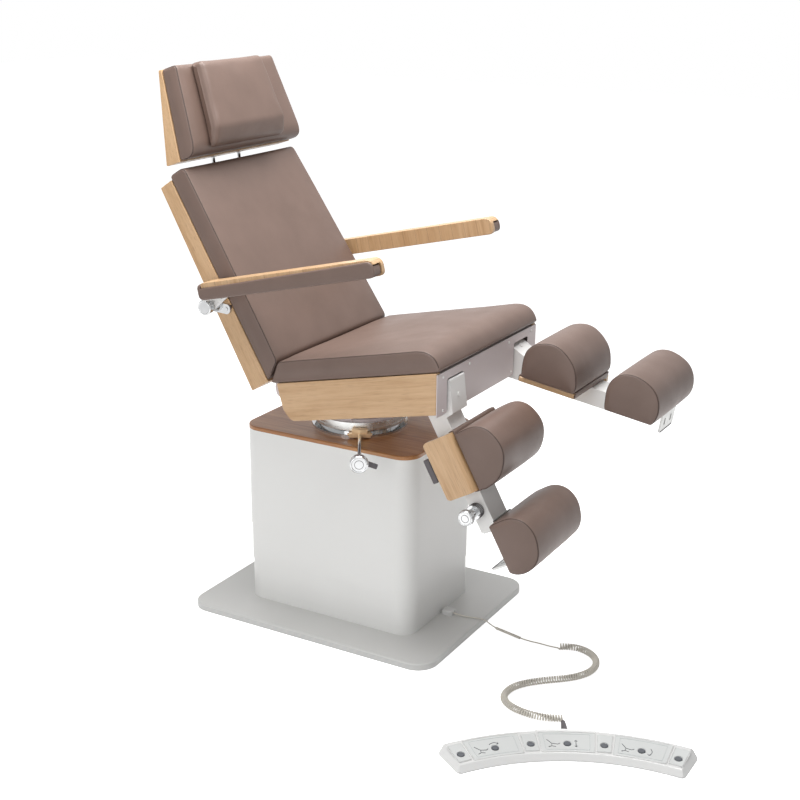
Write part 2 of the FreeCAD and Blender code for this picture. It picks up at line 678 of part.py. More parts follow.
grip = eased_plate([(150, -112, 4), (218, -112, 4), (218, -94.5, 4), (150, -94.5, 4)],
                   254.0, 270.0, 1.2)
grip = grip.fuse(bar_between(grip_s, grip_n, grip_s + 4.0, -100.0, 8.0, 261.0, 268.5))
grip = grip.fuse(pin_y(grip_s, grip_n, 4.0, 262.0, 279.0))

calf_flat = [(0, 0), (-2, 24), (-3, 52), (1, 72), (10, 88), (25, 101), (46, 110), (69, 115)]
calf_flat += [(90, 112), (111, 101), (127, 88), (139, 75), (148, 58), (154, 35), (157, 14), (151, 0)]
calf_flat = [(u * calf_stretch[0], v * calf_stretch[1]) for u, v in calf_flat]
foot_flat = [(0, 0), (-2, 22), (-4, 56), (1, 78), (14, 97), (33, 109), (57, 114), (83, 109)]
foot_flat += [(105, 100), (121, 87), (133, 67), (138, 41), (136, 20), (126, 0)]
foot_flat = [(u * foot_stretch[0], v * foot_stretch[1]) for u, v in foot_flat]


def roll(flat_points, start, low, y0, y1):
    """Upholstered roll: rounded side profile, drawn in at both flat ends."""
    points = []
    last = len(flat_points) - 1
    for i in range(last + 1):
        radius = 5.0 if i in (0, last) else None
        points.append((start + flat_points[i][0], low + flat_points[i][1], radius))
    wires = []
    for y, inset in ((y0, 6.0), (y0 + 2.0, 2.8), (y0 + 6.0, 0.8), (y0 + 12.0, 0.0),
                     (y1 - 12.0, 0.0), (y1 - 6.0, 0.8), (y1 - 2.0, 2.8), (y1, 6.0)):
        wires.append((shrink(points, inset) if inset > 0.0 else points, flat(y)))
    return side_loft(wires)


calf_roll = roll(calf_flat, calf_start, 9.3, *calf_y)

# Leather bands that fold down over both ends of the calf board
upper_band = [(104.2, -5, 0), (106.4, -5, 0), (106.4, 9, 0), (119, 9.2, 0), (119, 14, 0)]
upper_band.append((104.2, 14, 7))
lower_band = [(272.8, -5, 0), (275, -5, 0), (277, 14, 0), (266, 14, 0), (266, 9.2, 0)]
lower_band.append((272.8, 9, 0))
calf_roll = calf_roll.fuse([side_plate(band, 32.0, 266.0) for band in (upper_band, lower_band)])
foot_roll = roll(foot_flat, foot_start, 1.0, *foot_y)

# The slide runs inside the bar; its end cap carries the plate under the foot roll
slide_gap = bar_wall + 0.4
cap_s = bar_end + 0.5
slide_box = box(150, cap_s + 4.0, bar_y0 + slide_gap, bar_y1 - slide_gap, bar_n0 + slide_gap, bar_n1 - slide_gap)
slide_hole = box(140, cap_s, bar_y0 + 6.0, bar_y1 - 6.0, bar_n0 + 6.0, bar_n1 - 6.0)
cap = box(cap_s, cap_s + 4.0, bar_y0 + slide_gap, bar_y1 - slide_gap, bar_n0 + slide_gap, -1.0)
end_rim = [(150, -66, 6), (254, -66, 6), (254, 0, 2), (150, 0, 2)]
foot_slide = slide_box.cut(slide_hole)
foot_slide = foot_slide.fuse([cap, front_plate(end_rim, 484, 489), box(365, 489, 150, 254, -5, 0)])
for y in (172.0, 218.0):
    slot_rim = [(y, -50, 4), (y + 10, -50, 4), (y + 10, -30, 4), (y, -30, 4)]
    foot_slide = foot_slide.cut(front_plate(slot_rim, 470, 500))

leg_knob = turned(knob_shape, 312.0)
leg_knob.scale(leg_knob_scale, Vector(312, 0, 0))
leg_knob = leg_knob.fuse(rod((262, 0, 0), (296, 0, 0), 13.0))
leg_knob = leg_knob.fuse(rod((241, 0, 0), (264, 0, 0), 20.0))
leg_knob = leg_knob.fuse(rod((237.2, 0, 0), (245, 0, 0), 6.0))
leg_knob.rotate(Vector(0, 0, 0), Vector(0, 0, 1), 90)
leg_knob.translate(Vector(knob_s, 0, knob_n))

leg_parts = {"leg_bar": leg_bar, "calf_board": calf_board, "calf_roll": calf_roll,
             "calf_handle": grip, "leg_knob": leg_knob, "foot_slide": foot_slide,
             "foot_roll": foot_roll}
for side, angle in leg_angles.items():
    for name, shape in leg_parts.items():
        placed = shape.copy()
        if name == "calf_handle":
            placed.rotate(Vector(grip_s, 0, grip_n), Vector(0, 1, 0), lever_swing[side])
        if side == "right":
            placed = mirrored(placed)
        write(name + "_" + side, lean(placed, angle, leg_hinge))


# Foot control: sections turned about a vertical axis
def ring_part(points, angle0, angle1):
    """Turns (radius, z) corners about the foot control's centre between two angles."""
    wire = outline(points, lambda u, v: Vector(pedal_at[0] + u, pedal_at[1], v))
    centre = Vector(pedal_at[0], pedal_at[1], 0)
    body = Part.Face(wire).revolve(centre, Vector(0, 0, 1), angle1 - angle0)
    body.rotate(centre, Vector(0, 0, 1), angle0)
    return body


def pedal_top(radius):
    """Height of the sloping top at a radius."""
    return 16.0 + (radius - 578.0) * 11.0 / 86.0


def pedal_point(radius, angle, z):
    """Point of the foot control from radius and angle."""
    c = math.cos(math.radians(angle))
    s = math.sin(math.radians(angle))
    return (pedal_at[0] + radius * c, pedal_at[1] + radius * s, z)


angle0 = pedal_mid - pedal_span / 2.0
angle1 = pedal_mid + pedal_span / 2.0
skin = [(565, 0, 0), (565, 3, 1), (578, 16, 5), (664, 27, 4), (668, 22, 3), (668, 0, 0)]
hollow = [(569.5, -2, 0), (569.5, 3, 0), (580, 13.4, 0), (662, 24, 0), (665.2, 20, 0)]
hollow.append((665.2, -2, 0))
boss = [(660, 2, 0), (672, 2, 0), (672, 26, 2.5), (668, 28.6, 2), (660, 26, 0)]
cover = ring_part(skin, angle0, angle1)
cover = cover.fuse(ring_part(boss, pedal_mid - 6.5, pedal_mid + 6.5))
for angle, turn in ((angle0, -1), (angle1, 1)):
    cutter = box(500, 720, 0, 80, -20, 60)
    cutter.rotate(Vector(0, 0, 0), Vector(1, 0, 0), 34)
    if turn < 0:
        cutter = mirrored(cutter)
    cutter.rotate(Vector(0, 0, 0), Vector(0, 0, 1), angle)
    cutter.translate(Vector(pedal_at[0], pedal_at[1], 0))
    cover = cover.cut(cutter)
plan = ring_part([(564, -1, 0), (675, -1, 0), (675, 40, 0), (564, 40, 0)], angle0, angle1)
corners = []
for edge in plan.Edges:
    ends = edge.Vertexes
    if len(ends) == 2 and abs(ends[0].Point.z - ends[1].Point.z) > 30.0:
        corners.append(edge)
cover = cover.common(plan.makeFillet(pedal_corner, corners))
cover = cover.cut(ring_part(hollow, angle0 + 2.6, angle1 - 2.6))
panels = []
for k in range(-3, 4):
    angle = pedal_mid + k * button_pitch
    wide = 6.2 if k % 2 == 0 else 1.6
    thick = 0.8 if k % 2 == 0 else 1.6
    r0 = 584.0 if k % 2 == 0 else 588.0
    r1 = 655.0 if k % 2 == 0 else 650.0
    face = [(r0, pedal_top(r0) + 0.02, 0), (r1, pedal_top(r1) + 0.02, 0)]
    face += [(r1, pedal_top(r1) + thick, 0), (r0, pedal_top(r0) + thick, 0)]
    panel = ring_part(face, angle - wide, angle + wide)
    low = pedal_point(button_at, angle, 0)
    high = pedal_point(button_at, angle, 60)
    panels.append(panel.cut(rod(low, high, 10.6)))
    cover = cover.cut(rod(low, high, button_r + 0.5))
    cover = cover.cut(rod(low, pedal_point(button_at, angle, 12.5), flange_r + 0.6))
    foot = pedal_point(button_at, angle, 8)
    rim_at = pedal_point(button_at, angle, 21.5)
    crown = Part.makeCone(button_r, button_r - 1.5, 1.4, Vector(*rim_at))
    flange = rod(foot, pedal_point(button_at, angle, 10.5), flange_r)
    cap = rod(foot, rim_at, button_r).fuse([crown, flange])
    write("pedal_button_" + str(k + 4), cap)
write("pedal_cover", cover)
write("pedal_panels", Part.makeCompound(panels))
base_face = [(570.0, 0, 0), (664.8, 0, 0), (664.8, 2.5, 0), (570.0, 2.5, 0)]
write("pedal_base", ring_part(base_face, angle0 + 2.8, angle1 - 2.8))

relief_z = 11.5
relief_tip = 729.0
relief_start = Vector(*pedal_point(672.0, pedal_mid, relief_z))
relief_end = Vector(*pedal_point(relief_tip, pedal_mid, relief_z))
relief = Part.makeCone(10.5, 5.5, relief_tip - 672.0, relief_start, relief_end - relief_start)
write("pedal_strain_relief", relief)

# Cord socket on the base plate
socket_face = 319.5
socket_rim = rectangle(17.0, 15.0, 5.0, socket_face - 17.0)
socket_low = []
for corner in socket_rim:
    socket_low.append((corner[0], corner[1] + 3.0, corner[2]))
socket = level_plate(socket_low, plate_high, plate_high + 12.0)
socket_wires = [outline(socket_low, lambda u, v: Vector(u, v, plate_high + 12.0))]
socket_top = shrink(socket_low, 3.0)
socket_wires.append(outline(socket_top, lambda u, v: Vector(u, v, plate_high + 15.0)))
socket = socket.fuse(Part.makeLoft(socket_wires, True, True)).removeSplitter()
write("pedal_socket", socket)


# Straight cord stretches: runs joined by tangent arcs
def cord_tube(points, radius, name):
    """Round tube along straight runs with tangent arcs; prints its arc radii."""
    spots = [Vector(*p) for p in points]
    edges = []
    radii = []
    at = spots[0]
    for i in range(1, len(spots) - 1):
        back = spots[i - 1] - spots[i]
        ahead = spots[i + 1] - spots[i]
        reach = 0.45 * min(back.Length, ahead.Length)
        half = math.pi / 2.0 - back.getAngle(ahead) / 2.0
        radii.append(round(reach / math.tan(half), 1))
        first = spots[i] + back.normalize() * reach
        last = spots[i] + ahead.normalize() * reach
        chord = (first + last) * 0.5 - spots[i]
        r = reach / math.tan(half)
        middle = spots[i] + chord.normalize() * (r / math.cos(half) - r)
        edges.append(Part.LineSegment(at, first).toShape())
        edges.append(Part.Arc(first, middle, last).toShape())
        at = last
    edges.append(Part.LineSegment(at, spots[-1]).toShape())
    path = Part.Wire(edges)
    ring = Part.Wire([Part.Circle(spots[0], spots[1] - spots[0], radius).toShape()])
    tube = path.makePipeShell([ring], True, False)
    expected = math.pi * radius * radius * path.Length
    print(name, "length", round(path.Length, 1), "radii", radii, "volume share",
          round(tube.Volume / expected, 4))
    return tube


sleeve_from = (451.6, 17.5, 4.3)
sleeve_to = (537.6, -3.0, 4.3)
lead_path = [(socket_face, 3.0, 25.0), (348.0, 3.0, 22.6), (380.0, 11.5, 21.6)]
lead_path += [(411.0, 19.0, 22.2), (435.0, 21.4, 6.6), sleeve_from]
write("cord_lead", cord_tube(lead_path, lead_r, "cord_lead"))
sleeve_axis = Vector(*sleeve_to) - Vector(*sleeve_from)
sleeve = Part.makeCylinder(4.0, sleeve_axis.Length, Vector(*sleeve_from), sleeve_axis)
write("inline_sleeve", sleeve)
curl_tail = (652.0, 0.5, 2.9)
tail_path = [sleeve_to, (566.0, -4.5, 2.9), (598.0, 0.0, 2.3), (630.0, -2.5, 2.5), curl_tail]
write("cord_tail", cord_tube(tail_path, lead_r, "cord_tail"))

# Curly cord: one wire wound round a route over the floor
route = [(660, -3), (676, 8), (701, 16), (729, 14), (757, 1), (779, -22), (791, -52)]
route += [(792, -84), (783, -113), (766, -140), (742, -165), (715, -188), (689, -212)]
route += [(665, -238), (647, -268), (640, -300), (644, -331), (660, -354), (685, -369)]
route += [(715, -377), (746, -379), (775, -375), (801, -366), (823, -353)]
route_z = 10.2


def route_table():
    """Closely spaced points of a smooth curve through the route, with their lengths."""
    table = []
    total = 0.0
    for i in range(len(route) - 1):
        p0 = route[max(i - 1, 0)]
        p1 = route[i]
        p2 = route[i + 1]
        p3 = route[min(i + 2, len(route) - 1)]
        for j in range(24):
            t = j / 24.0
            spot = []
            for a in range(2):
                m1 = (p2[a] - p0[a]) / 2.0
                m2 = (p3[a] - p1[a]) / 2.0
                h = (2 * t ** 3 - 3 * t ** 2 + 1) * p1[a] + (t ** 3 - 2 * t ** 2 + t) * m1
                h += (3 * t ** 2 - 2 * t ** 3) * p2[a] + (t ** 3 - t ** 2) * m2
                spot.append(h)
            if table:
                total += math.hypot(spot[0] - table[-1][1], spot[1] - table[-1][2])
            table.append((total, spot[0], spot[1]))
    total += math.hypot(route[-1][0] - table[-1][1], route[-1][1] - table[-1][2])
    table.append((total, float(route[-1][0]), float(route[-1][1])))
    return table


table = route_table()
route_long = table[-1][0]


def on_route(distance):
    """Point and direction of the route at a length."""
    i = 0
    while i < len(table) - 2 and table[i + 1][0] < distance:
        i += 1
    a = table[i]
    b = table[i + 1]
    share = (distance - a[0]) / (b[0] - a[0])
    before = table[max(i - 3, 0)]
    after = table[min(i + 4, len(table) - 1)]
    tx = after[1] - before[1]
    ty = after[2] - before[2]
    size = math.hypot(tx, ty)
    return a[1] + (b[1] - a[1]) * share, a[2] + (b[2] - a[2]) * share, tx / size, ty / size


def curl_point(turns):
    """Point of the wound wire after a number of turns, starting at the bottom."""
    x, y, tx, ty = on_route(route_long * turns / curls)
    psi = 2.0 * math.pi * turns
    side = curl_r * math.sin(psi)
    return Vector(x + ty * side, y - tx * side, route_z - curl_r * math.cos(psi))


def curl_direction(turns):
    """Direction of the wound wire after a number of turns."""
    step = 0.01
    ahead = curl_point(min(turns + step, curls))
    behind = curl_point(max(turns - step, 0.0))
    return (ahead - behind).normalize()


def biarc(p1, t1, p2, t2):
    """Two tangent arcs from one point and direction to another."""
    v = p2 - p1
    k = 2.0 * (1.0 - t1.dot(t2))
    vt = v.dot(t1 + t2)
    vv = v.dot(v)
    d = (-vt + math.sqrt(vt * vt + k * vv)) / k if k > 1e-9 else vv / (4.0 * v.dot(t2))
    q1 = p1 + t1 * d
    q2 = p2 - t2 * d
    m = (q1 + q2) * 0.5
    return [arc_by(p1, q1, m), arc_by(m, q2, p2)]


def arc_by(a, q, b):
    """Arc from a to b whose tangents meet at q."""
    phi = (q - a).getAngle(b - q)
    middle = (a + b) * 0.5
    if phi < 1e-4:
        return Part.LineSegment(a, b).toShape()
    sagitta = (b - a).Length / 2.0 * math.tan(phi / 4.0)
    return Part.Arc(a, middle + (q - middle).normalize() * sagitta, b).toShape()


tail_start = Vector(*tail_path[-1])
tail_direction = (tail_start - Vector(*tail_path[-2])).normalize()
straight_end = tail_start + tail_direction * 5.0
curl_edges = [Part.LineSegment(tail_start, straight_end).toShape()]
curl_edges += biarc(straight_end, tail_direction, curl_point(0.0), curl_direction(0.0))
for i in range(2 * curls):
    u = i / 2.0
    w = (i + 1) / 2.0
    curl_edges += biarc(curl_point(u), curl_direction(u), curl_point(w), curl_direction(w))
relief_direction = (relief_start - relief_end).normalize()
last_straight = relief_end - relief_direction * 5.0
curl_edges += biarc(curl_point(curls), curl_direction(curls), last_straight, relief_direction)
curl_edges.append(Part.LineSegment(last_straight, relief_end).toShape())
curl_wire = Part.Wire(curl_edges)
curl_ring = Part.Wire([Part.Circle(tail_start, tail_direction, curl_wire_r).toShape()])
coil = curl_wire.makePipeShell([curl_ring], True, False)
coil_expected = math.pi * curl_wire_r ** 2 * curl_wire.Length
print("coil: route", round(route_long, 1), "wire", round(curl_wire.Length, 1),
      "volume share", round(coil.Volume / coil_expected, 4))
samples = []
for i in range(24 * curls + 1):
    samples.append(curl_point(i / 24.0))
least = 1e9
for i in range(len(samples)):
    for j in range(i + 14, min(i + 40, len(samples))):
        least = min(least, (samples[i] - samples[j]).Length)
print("coil: least gap to itself", round(least - 2.0 * curl_wire_r, 2), "mm")
write("coil_cord", coil)
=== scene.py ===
import math

import bmesh
import bpy
from mathutils import Matrix, Vector


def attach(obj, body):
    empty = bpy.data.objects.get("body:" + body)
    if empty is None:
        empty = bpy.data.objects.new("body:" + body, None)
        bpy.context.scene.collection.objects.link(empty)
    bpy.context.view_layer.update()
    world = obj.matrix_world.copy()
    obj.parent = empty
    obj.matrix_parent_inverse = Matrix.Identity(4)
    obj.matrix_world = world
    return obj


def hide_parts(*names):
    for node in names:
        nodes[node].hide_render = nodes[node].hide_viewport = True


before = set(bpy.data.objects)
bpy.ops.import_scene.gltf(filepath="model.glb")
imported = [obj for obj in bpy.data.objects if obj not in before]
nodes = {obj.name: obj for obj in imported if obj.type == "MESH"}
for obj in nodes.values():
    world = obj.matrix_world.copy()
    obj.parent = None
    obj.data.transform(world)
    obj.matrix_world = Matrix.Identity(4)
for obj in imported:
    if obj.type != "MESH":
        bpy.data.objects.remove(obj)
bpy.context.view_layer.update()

MM = 0.001
IMAGE_SIZE = 800
# The chair's sides, each with its way outwards along Y
sides = {"right": -1.0, "left": 1.0}


def in_scene(name, data):
    """Object on this data, linked to the scene."""
    made = bpy.data.objects.new(name, data)
    bpy.context.scene.collection.objects.link(made)
    return made


def evaluated_mesh(made):
    """Plain mesh of what an object's modifiers or its curve give."""
    return bpy.data.meshes.new_from_object(made.evaluated_get(bpy.context.evaluated_depsgraph_get()))


# Camera: where the photograph was taken from
eye = Vector((2.0274, -3.3121, 1.8953))
yaw = math.radians(29.76)
pitch = math.radians(18.05)
roll = math.radians(0.47)
focal_pixels = 1403.7
ahead = Vector((-math.sin(yaw) * math.cos(pitch), math.cos(yaw) * math.cos(pitch), -math.sin(pitch)))
right_hand = ahead.cross(Vector((0, 0, 1))).normalized()
upward = right_hand.cross(ahead)
tilted_right = right_hand * math.cos(roll) + upward * math.sin(roll)
tilted_up = upward * math.cos(roll) - right_hand * math.sin(roll)
camera_data = bpy.data.cameras.new("camera")
camera_data.sensor_width = 36.0
camera_data.lens = focal_pixels / IMAGE_SIZE * camera_data.sensor_width
camera = in_scene("camera", camera_data)
camera_turn = Matrix((tilted_right, tilted_up, -ahead)).transposed().to_4x4()
camera.matrix_world = Matrix.Translation(eye) @ camera_turn
bpy.context.scene.camera = camera
bpy.context.scene.view_settings.view_transform = "Standard"


# Materials
def tint(red, green, blue):
    """Colour from 0-255 values as seen on a screen."""
    linear = []
    for value in (red, green, blue):
        share = value / 255.0
        linear.append(share / 12.92 if share <= 0.04045 else ((share + 0.055) / 1.055) ** 2.4)
    return (*linear, 1.0)


def put(tree, kind, sockets=None, **settings):
    """Adds a node; sockets maps an input's name or number to a value or to another node's output."""
    made = tree.nodes.new(kind)
    for name, value in settings.items():
        setattr(made, name, value)
    for name, value in (sockets or {}).items():
        if isinstance(value, bpy.types.NodeSocket):
            tree.links.new(value, made.inputs[name])
        else:
            made.inputs[name].default_value = value
    return made


def math_node(tree, operation, a, b=0.0, c=0.0):
    """One sum on numbers."""
    return put(tree, "ShaderNodeMath", {0: a, 1: b, 2: c}, operation=operation).outputs[0]


def remapped(tree, value, low, high, new_low, new_high):
    """The value's range from low to high laid onto a new range, and held at its ends."""
    return put(tree, "ShaderNodeMapRange", {"Value": value, "From Min": low, "From Max": high,
                                            "To Min": new_low, "To Max": new_high}).outputs[0]


def noise(tree, vector, scale, detail, **more):
    """Noise value; more holds its other inputs by name."""
    sockets = {"Vector": vector, "Scale": scale, "Detail": detail, **more}
    return put(tree, "ShaderNodeTexNoise", sockets).outputs[0]


def mixed(tree, share, first, second):
    """Colour that goes from the first to the second with the share."""
    return put(tree, "ShaderNodeMix", {0: share, 6: first, 7: second}, data_type="RGBA").outputs[2]


def shaded(colour, share):
    """Darker tone of a colour."""
    return [value * share for value in colour[:3]] + [1.0]


def new_group(name, inputs, outputs):
    """Shader node group with a Vector input, inputs by name and default value, and number outputs."""
    group = bpy.data.node_groups.new(name, "ShaderNodeTree")
    group.interface.new_socket("Vector", in_out="INPUT", socket_type="NodeSocketVector")
    for title, default in inputs.items():
        kind = "NodeSocketFloat" if isinstance(default, float) else "NodeSocketVector"
        group.interface.new_socket(title, in_out="INPUT", socket_type=kind).default_value = default
    for title in outputs:
        group.interface.new_socket(title, in_out="OUTPUT", socket_type="NodeSocketFloat")
    return group, group.nodes.new("NodeGroupInput").outputs


def make_wood_grain():
    """Slow figure, long thin streaks, fine fibres and short dark pores, all running along X."""
    group, given = new_group("wood grain", {"Figure": 3.0, "Pore Depth": 0.5}, ("Tone", "Pores", "Height"))

    def along_x(squeeze):
        """Coordinates squeezed across the grain."""
        return put(group, "ShaderNodeMapping", {0: given["Vector"], 3: (1.0, squeeze, squeeze)}).outputs[0]

    narrow = along_x(40.0)
    figure = noise(group, along_x(6.0), given["Figure"], 3.0, Distortion=1.2)
    streaks = noise(group, along_x(22.0), 5.0, 6.0, Roughness=0.62, Distortion=0.35)
    fibres = noise(group, narrow, 14.0, 4.0, Roughness=0.65)
    dashes = noise(group, narrow, 24.0, 1.0, Distortion=0.2)
    pores = remapped(group, dashes, 0.6, 0.74, 0.0, given["Pore Depth"])
    tone = math_node(group, "MULTIPLY", figure, 0.3)
    tone = math_node(group, "MULTIPLY_ADD", streaks, 0.45, tone)
    tone = math_node(group, "MULTIPLY_ADD", fibres, 0.25, tone)
    height = math_node(group, "SUBTRACT", fibres, pores)
    put(group, "NodeGroupOutput", {"Tone": tone, "Pores": pores, "Height": height})
    return group


def make_hide_grain():
    """Pebbled leatherette: small cells with creases between them, and slow mottling."""
    group, given = new_group("hide grain", {"Pebbles": 750.0, "Mottle": 9.0}, ("Height", "Tone"))
    wobble = put(group, "ShaderNodeTexNoise", {"Vector": given["Vector"], "Scale": 260.0, "Detail": 2.0})
    shifted = put(group, "ShaderNodeMix", {0: 0.0016, 4: given["Vector"], 5: wobble.outputs["Color"]},
                  data_type="VECTOR")
    cells = put(group, "ShaderNodeTexVoronoi", {"Vector": shifted.outputs[1], "Scale": given["Pebbles"]},
                feature="SMOOTH_F1")
    height = math_node(group, "SUBTRACT", 1.0, cells.outputs["Distance"])
    mottle = noise(group, given["Vector"], given["Mottle"], 5.0)
    put(group, "NodeGroupOutput", {"Height": height, "Tone": mottle})
    return group


def make_coat_skin():
    """Slight orange peel of sprayed paint or moulding, with faint clouds of handling marks."""
    group, given = new_group("coat skin", {"Peel": 420.0, "Clouds": 5.0}, ("Height", "Tone", "Marks"))
    peel = noise(group, given["Vector"], given["Peel"], 1.0)
    clouds = noise(group, given["Vector"], given["Clouds"], 4.0)
    marks = remapped(group, noise(group, given["Vector"], 38.0, 6.0, Roughness=0.7), 0.52, 0.75, 0.0, 1.0)
    put(group, "NodeGroupOutput", {"Height": peel, "Tone": clouds, "Marks": marks})
    return group


def make_machined_lines():
    """Fine lines left by turning or brushing, running across the stretch."""
    defaults = {"Stretch": (1.0, 1.0, 60.0), "Lines": 30.0}
    group, given = new_group("machined lines", defaults, ("Height", "Tone"))
    stretched = put(group, "ShaderNodeVectorMath", {0: given["Vector"], 1: given["Stretch"]},
                    operation="MULTIPLY")
    height = noise(group, stretched.outputs[0], given["Lines"], 5.0, Roughness=0.7)
    put(group, "NodeGroupOutput", {"Height": height, "Tone": noise(group, given["Vector"], 22.0, 4.0)})
    return group


wood_grain = make_wood_grain()
hide_grain = make_hide_grain()
coat_skin = make_coat_skin()
machined_lines = make_machined_lines()


def start_material(name, metallic=0.0, coat=0.0):
    """Material with a plain shader, its node tree, its shader and the Object coordinates."""
    material = bpy.data.materials.new(name)
    material.use_nodes = True
    tree = material.node_tree
    shader = tree.nodes["Principled BSDF"]
    shader.inputs["Metallic"].default_value = metallic
    if coat:
        shader.inputs["Coat Weight"].default_value = coat
        shader.inputs["Coat Roughness"].default_value = 0.12
    coordinates = tree.nodes.new("ShaderNodeTexCoord").outputs["Object"]
    return material, tree, shader, coordinates


def place_group(tree, group, named):
    """Outputs of a node group placed with its own values."""
    return put(tree, "ShaderNodeGroup", named, node_tree=group).outputs


def colour_steps(tree, factor, steps):
    """Colour ramp through (position, colour) steps."""
    ramp = put(tree, "ShaderNodeValToRGB", {"Fac": factor})
    elements = ramp.color_ramp.elements
    elements[0].position, elements[0].color = steps[0]
    elements[1].position, elements[1].color = steps[-1]
    for position, colour in steps[1:-1]:
        elements.new(position).color = colour
    return ramp.outputs["Color"]


def between(tree, factor, low, high):
    """Number between low and high as the factor goes from 0.3 to 0.7."""
    return remapped(tree, factor, 0.3, 0.7, low, high)


def link_shader(tree, shader, colour, roughness, height, strength, distance):
    """Gives a shader its colour, its roughness and the relief of a height."""
    relief = put(tree, "ShaderNodeBump", {"Height": height, "Strength": strength, "Distance": distance})
    tree.links.new(colour, shader.inputs["Base Color"])
    tree.links.new(roughness, shader.inputs["Roughness"])
    tree.links.new(relief.outputs[0], shader.inputs["Normal"])


def oak(name, degrees, light, middle, dark, block_width=0.0):
    """Lacquered wood, its grain along X turned by degrees in the side view; it may be glued from blocks."""
    material, tree, shader, coordinates = start_material(name, coat=0.25)
    turned = put(tree, "ShaderNodeMapping", {0: coordinates, 2: (0.0, math.radians(degrees), 0.0)}).outputs[0]
    grain = place_group(tree, wood_grain, {"Vector": turned, "Figure": 3.0, "Pore Depth": 0.6})
    colour = colour_steps(tree, grain["Tone"], [(0.38, dark), (0.49, middle), (0.62, light)])
    colour = mixed(tree, grain["Pores"], colour, shaded(dark, 0.62))
    height = grain["Height"]
    if block_width:
        first_block = 40.0
        run = put(tree, "ShaderNodeSeparateXYZ", {0: turned}).outputs[2]
        block = math_node(tree, "ADD", math_node(tree, "DIVIDE", run, block_width), first_block)
        glue_line = math_node(tree, "LESS_THAN", math_node(tree, "FRACT", block), 0.022)
        tone = put(tree, "ShaderNodeTexWhiteNoise", {"W": math_node(tree, "FLOOR", block)},
                   noise_dimensions="1D")
        colour = mixed(tree, math_node(tree, "MULTIPLY", tone.outputs[0], 0.3), colour, dark)
        colour = mixed(tree, math_node(tree, "MULTIPLY", glue_line, 0.7), colour, shaded(dark, 0.4))
        height = math_node(tree, "SUBTRACT", height, math_node(tree, "MULTIPLY", glue_line, 2.0))
    link_shader(tree, shader, colour, between(tree, grain["Tone"], 0.46, 0.36), height, 0.35, 0.0003)
    return material


def leatherette(name, light, dark):
    """Taupe upholstery cover."""
    material, tree, shader, coordinates = start_material(name)
    hide = place_group(tree, hide_grain, {"Vector": coordinates, "Pebbles": 720.0, "Mottle": 11.0})
    colour = colour_steps(tree, hide["Tone"], [(0.32, dark), (0.68, light)])
    link_shader(tree, shader, colour, between(tree, hide["Tone"], 0.5, 0.42), hide["Height"], 0.22, 0.0004)
    return material


def coated(name, colour, roughness, peel=420.0, relief=0.12, coat=0.0, shade=0.94):
    """Sprayed paint or moulded plastic with a faint skin texture and handling marks."""
    material, tree, shader, coordinates = start_material(name, coat=coat)
    skin = place_group(tree, coat_skin, {"Vector": coordinates, "Peel": peel, "Clouds": 4.0})
    colours = colour_steps(tree, skin["Tone"], [(0.3, shaded(colour, shade)), (0.62, colour)])
    rough = math_node(tree, "MULTIPLY_ADD", skin["Marks"], 0.07, roughness)
    link_shader(tree, shader, colours, rough, skin["Height"], relief, 0.0003)
    return material


def metal(name, colour, roughness, stretch, relief=0.05, metallic=1.0):
    """Metal with machining lines and smudges."""
    material, tree, shader, coordinates = start_material(name, metallic=metallic)
    lines = place_group(tree, machined_lines, {"Vector": coordinates, "Stretch": stretch, "Lines": 34.0})
    colours = colour_steps(tree, lines["Tone"], [(0.35, shaded(colour, 0.9)), (0.6, colour)])
    rough = between(tree, lines["Tone"], roughness * 1.35, roughness)
    link_shader(tree, shader, colours, rough, lines["Height"], relief, 0.0002)
    return material


oak_light = tint(204, 169, 130)
oak_middle = tint(194, 158, 118)
oak_dark = tint(178, 140, 98)
seat_angle = 12.2
back_angle = 32.5
head_angle = 18.5
arm_angle = 13.36
leg_angles = {"right": -61.0, "left": -9.0}
oak_tones = (oak_light, oak_middle, oak_dark)
oak_seat = oak("oak_seat", seat_angle, *oak_tones)
oak_back = oak("oak_back", back_angle + 90.0, *oak_tones)
oak_head = oak("oak_head", head_angle + 90.0, *oak_tones)
oak_arm = oak("oak_arm", arm_angle + 90.0, *oak_tones, block_width=0.042)
oak_calf = {side: oak("oak_calf_" + side, angle, *oak_tones) for side, angle in leg_angles.items()}
# The top cover's oak is painted darker and warmer than the other oak: painted shade of the seat's shadow over
# it
oak_cover_painted_shade = oak("oak_cover_painted_shade", 0.0, tint(182, 130, 76), tint(166, 111, 60), tint(143, 90, 45))
taupe_hide = leatherette("taupe_hide", tint(108, 88, 79), tint(102, 83, 74))
# Dark seam colour: partly the thread, partly painted shade of the groove along the seam
seam_thread_and_shade = coated("seam_thread_and_shade", tint(70, 57, 52), 0.75, peel=1800.0, relief=0.4)
white_housing = coated("white_housing", tint(230, 230, 228), 0.36, coat=0.1, shade=0.985)
plate_coat = coated("plate_coat", tint(202, 202, 200), 0.42, coat=0.1, shade=0.97)
white_powder = coated("white_powder", tint(238, 237, 235), 0.42, peel=900.0, relief=0.2, shade=0.97)
mauve_coat = coated("mauve_coat", tint(214, 203, 203), 0.4, peel=900.0, relief=0.2, shade=0.95)
dark_moulding = coated("dark_moulding", tint(84, 79, 82), 0.5, peel=1500.0, relief=0.35)
white_moulding = coated("white_moulding", tint(209, 209, 208), 0.3, coat=0.2, shade=0.98)
pale_film = coated("pale_film", tint(201, 203, 202), 0.22, coat=0.3, shade=0.97)
print_grey = coated("print_grey", tint(78, 80, 83), 0.4)
print_pale = coated("print_pale", tint(170, 176, 177), 0.35)
button_rubber = coated("button_rubber", tint(84, 87, 92), 0.6, peel=1600.0, relief=0.4)
jacket = coated("cord_jacket_grey", tint(205, 200, 190), 0.45, peel=1400.0, relief=0.25)
chrome = metal("chrome_plate", (0.56, 0.565, 0.57, 1.0), 0.1, (1.0, 1.0, 1.0), relief=0.01)
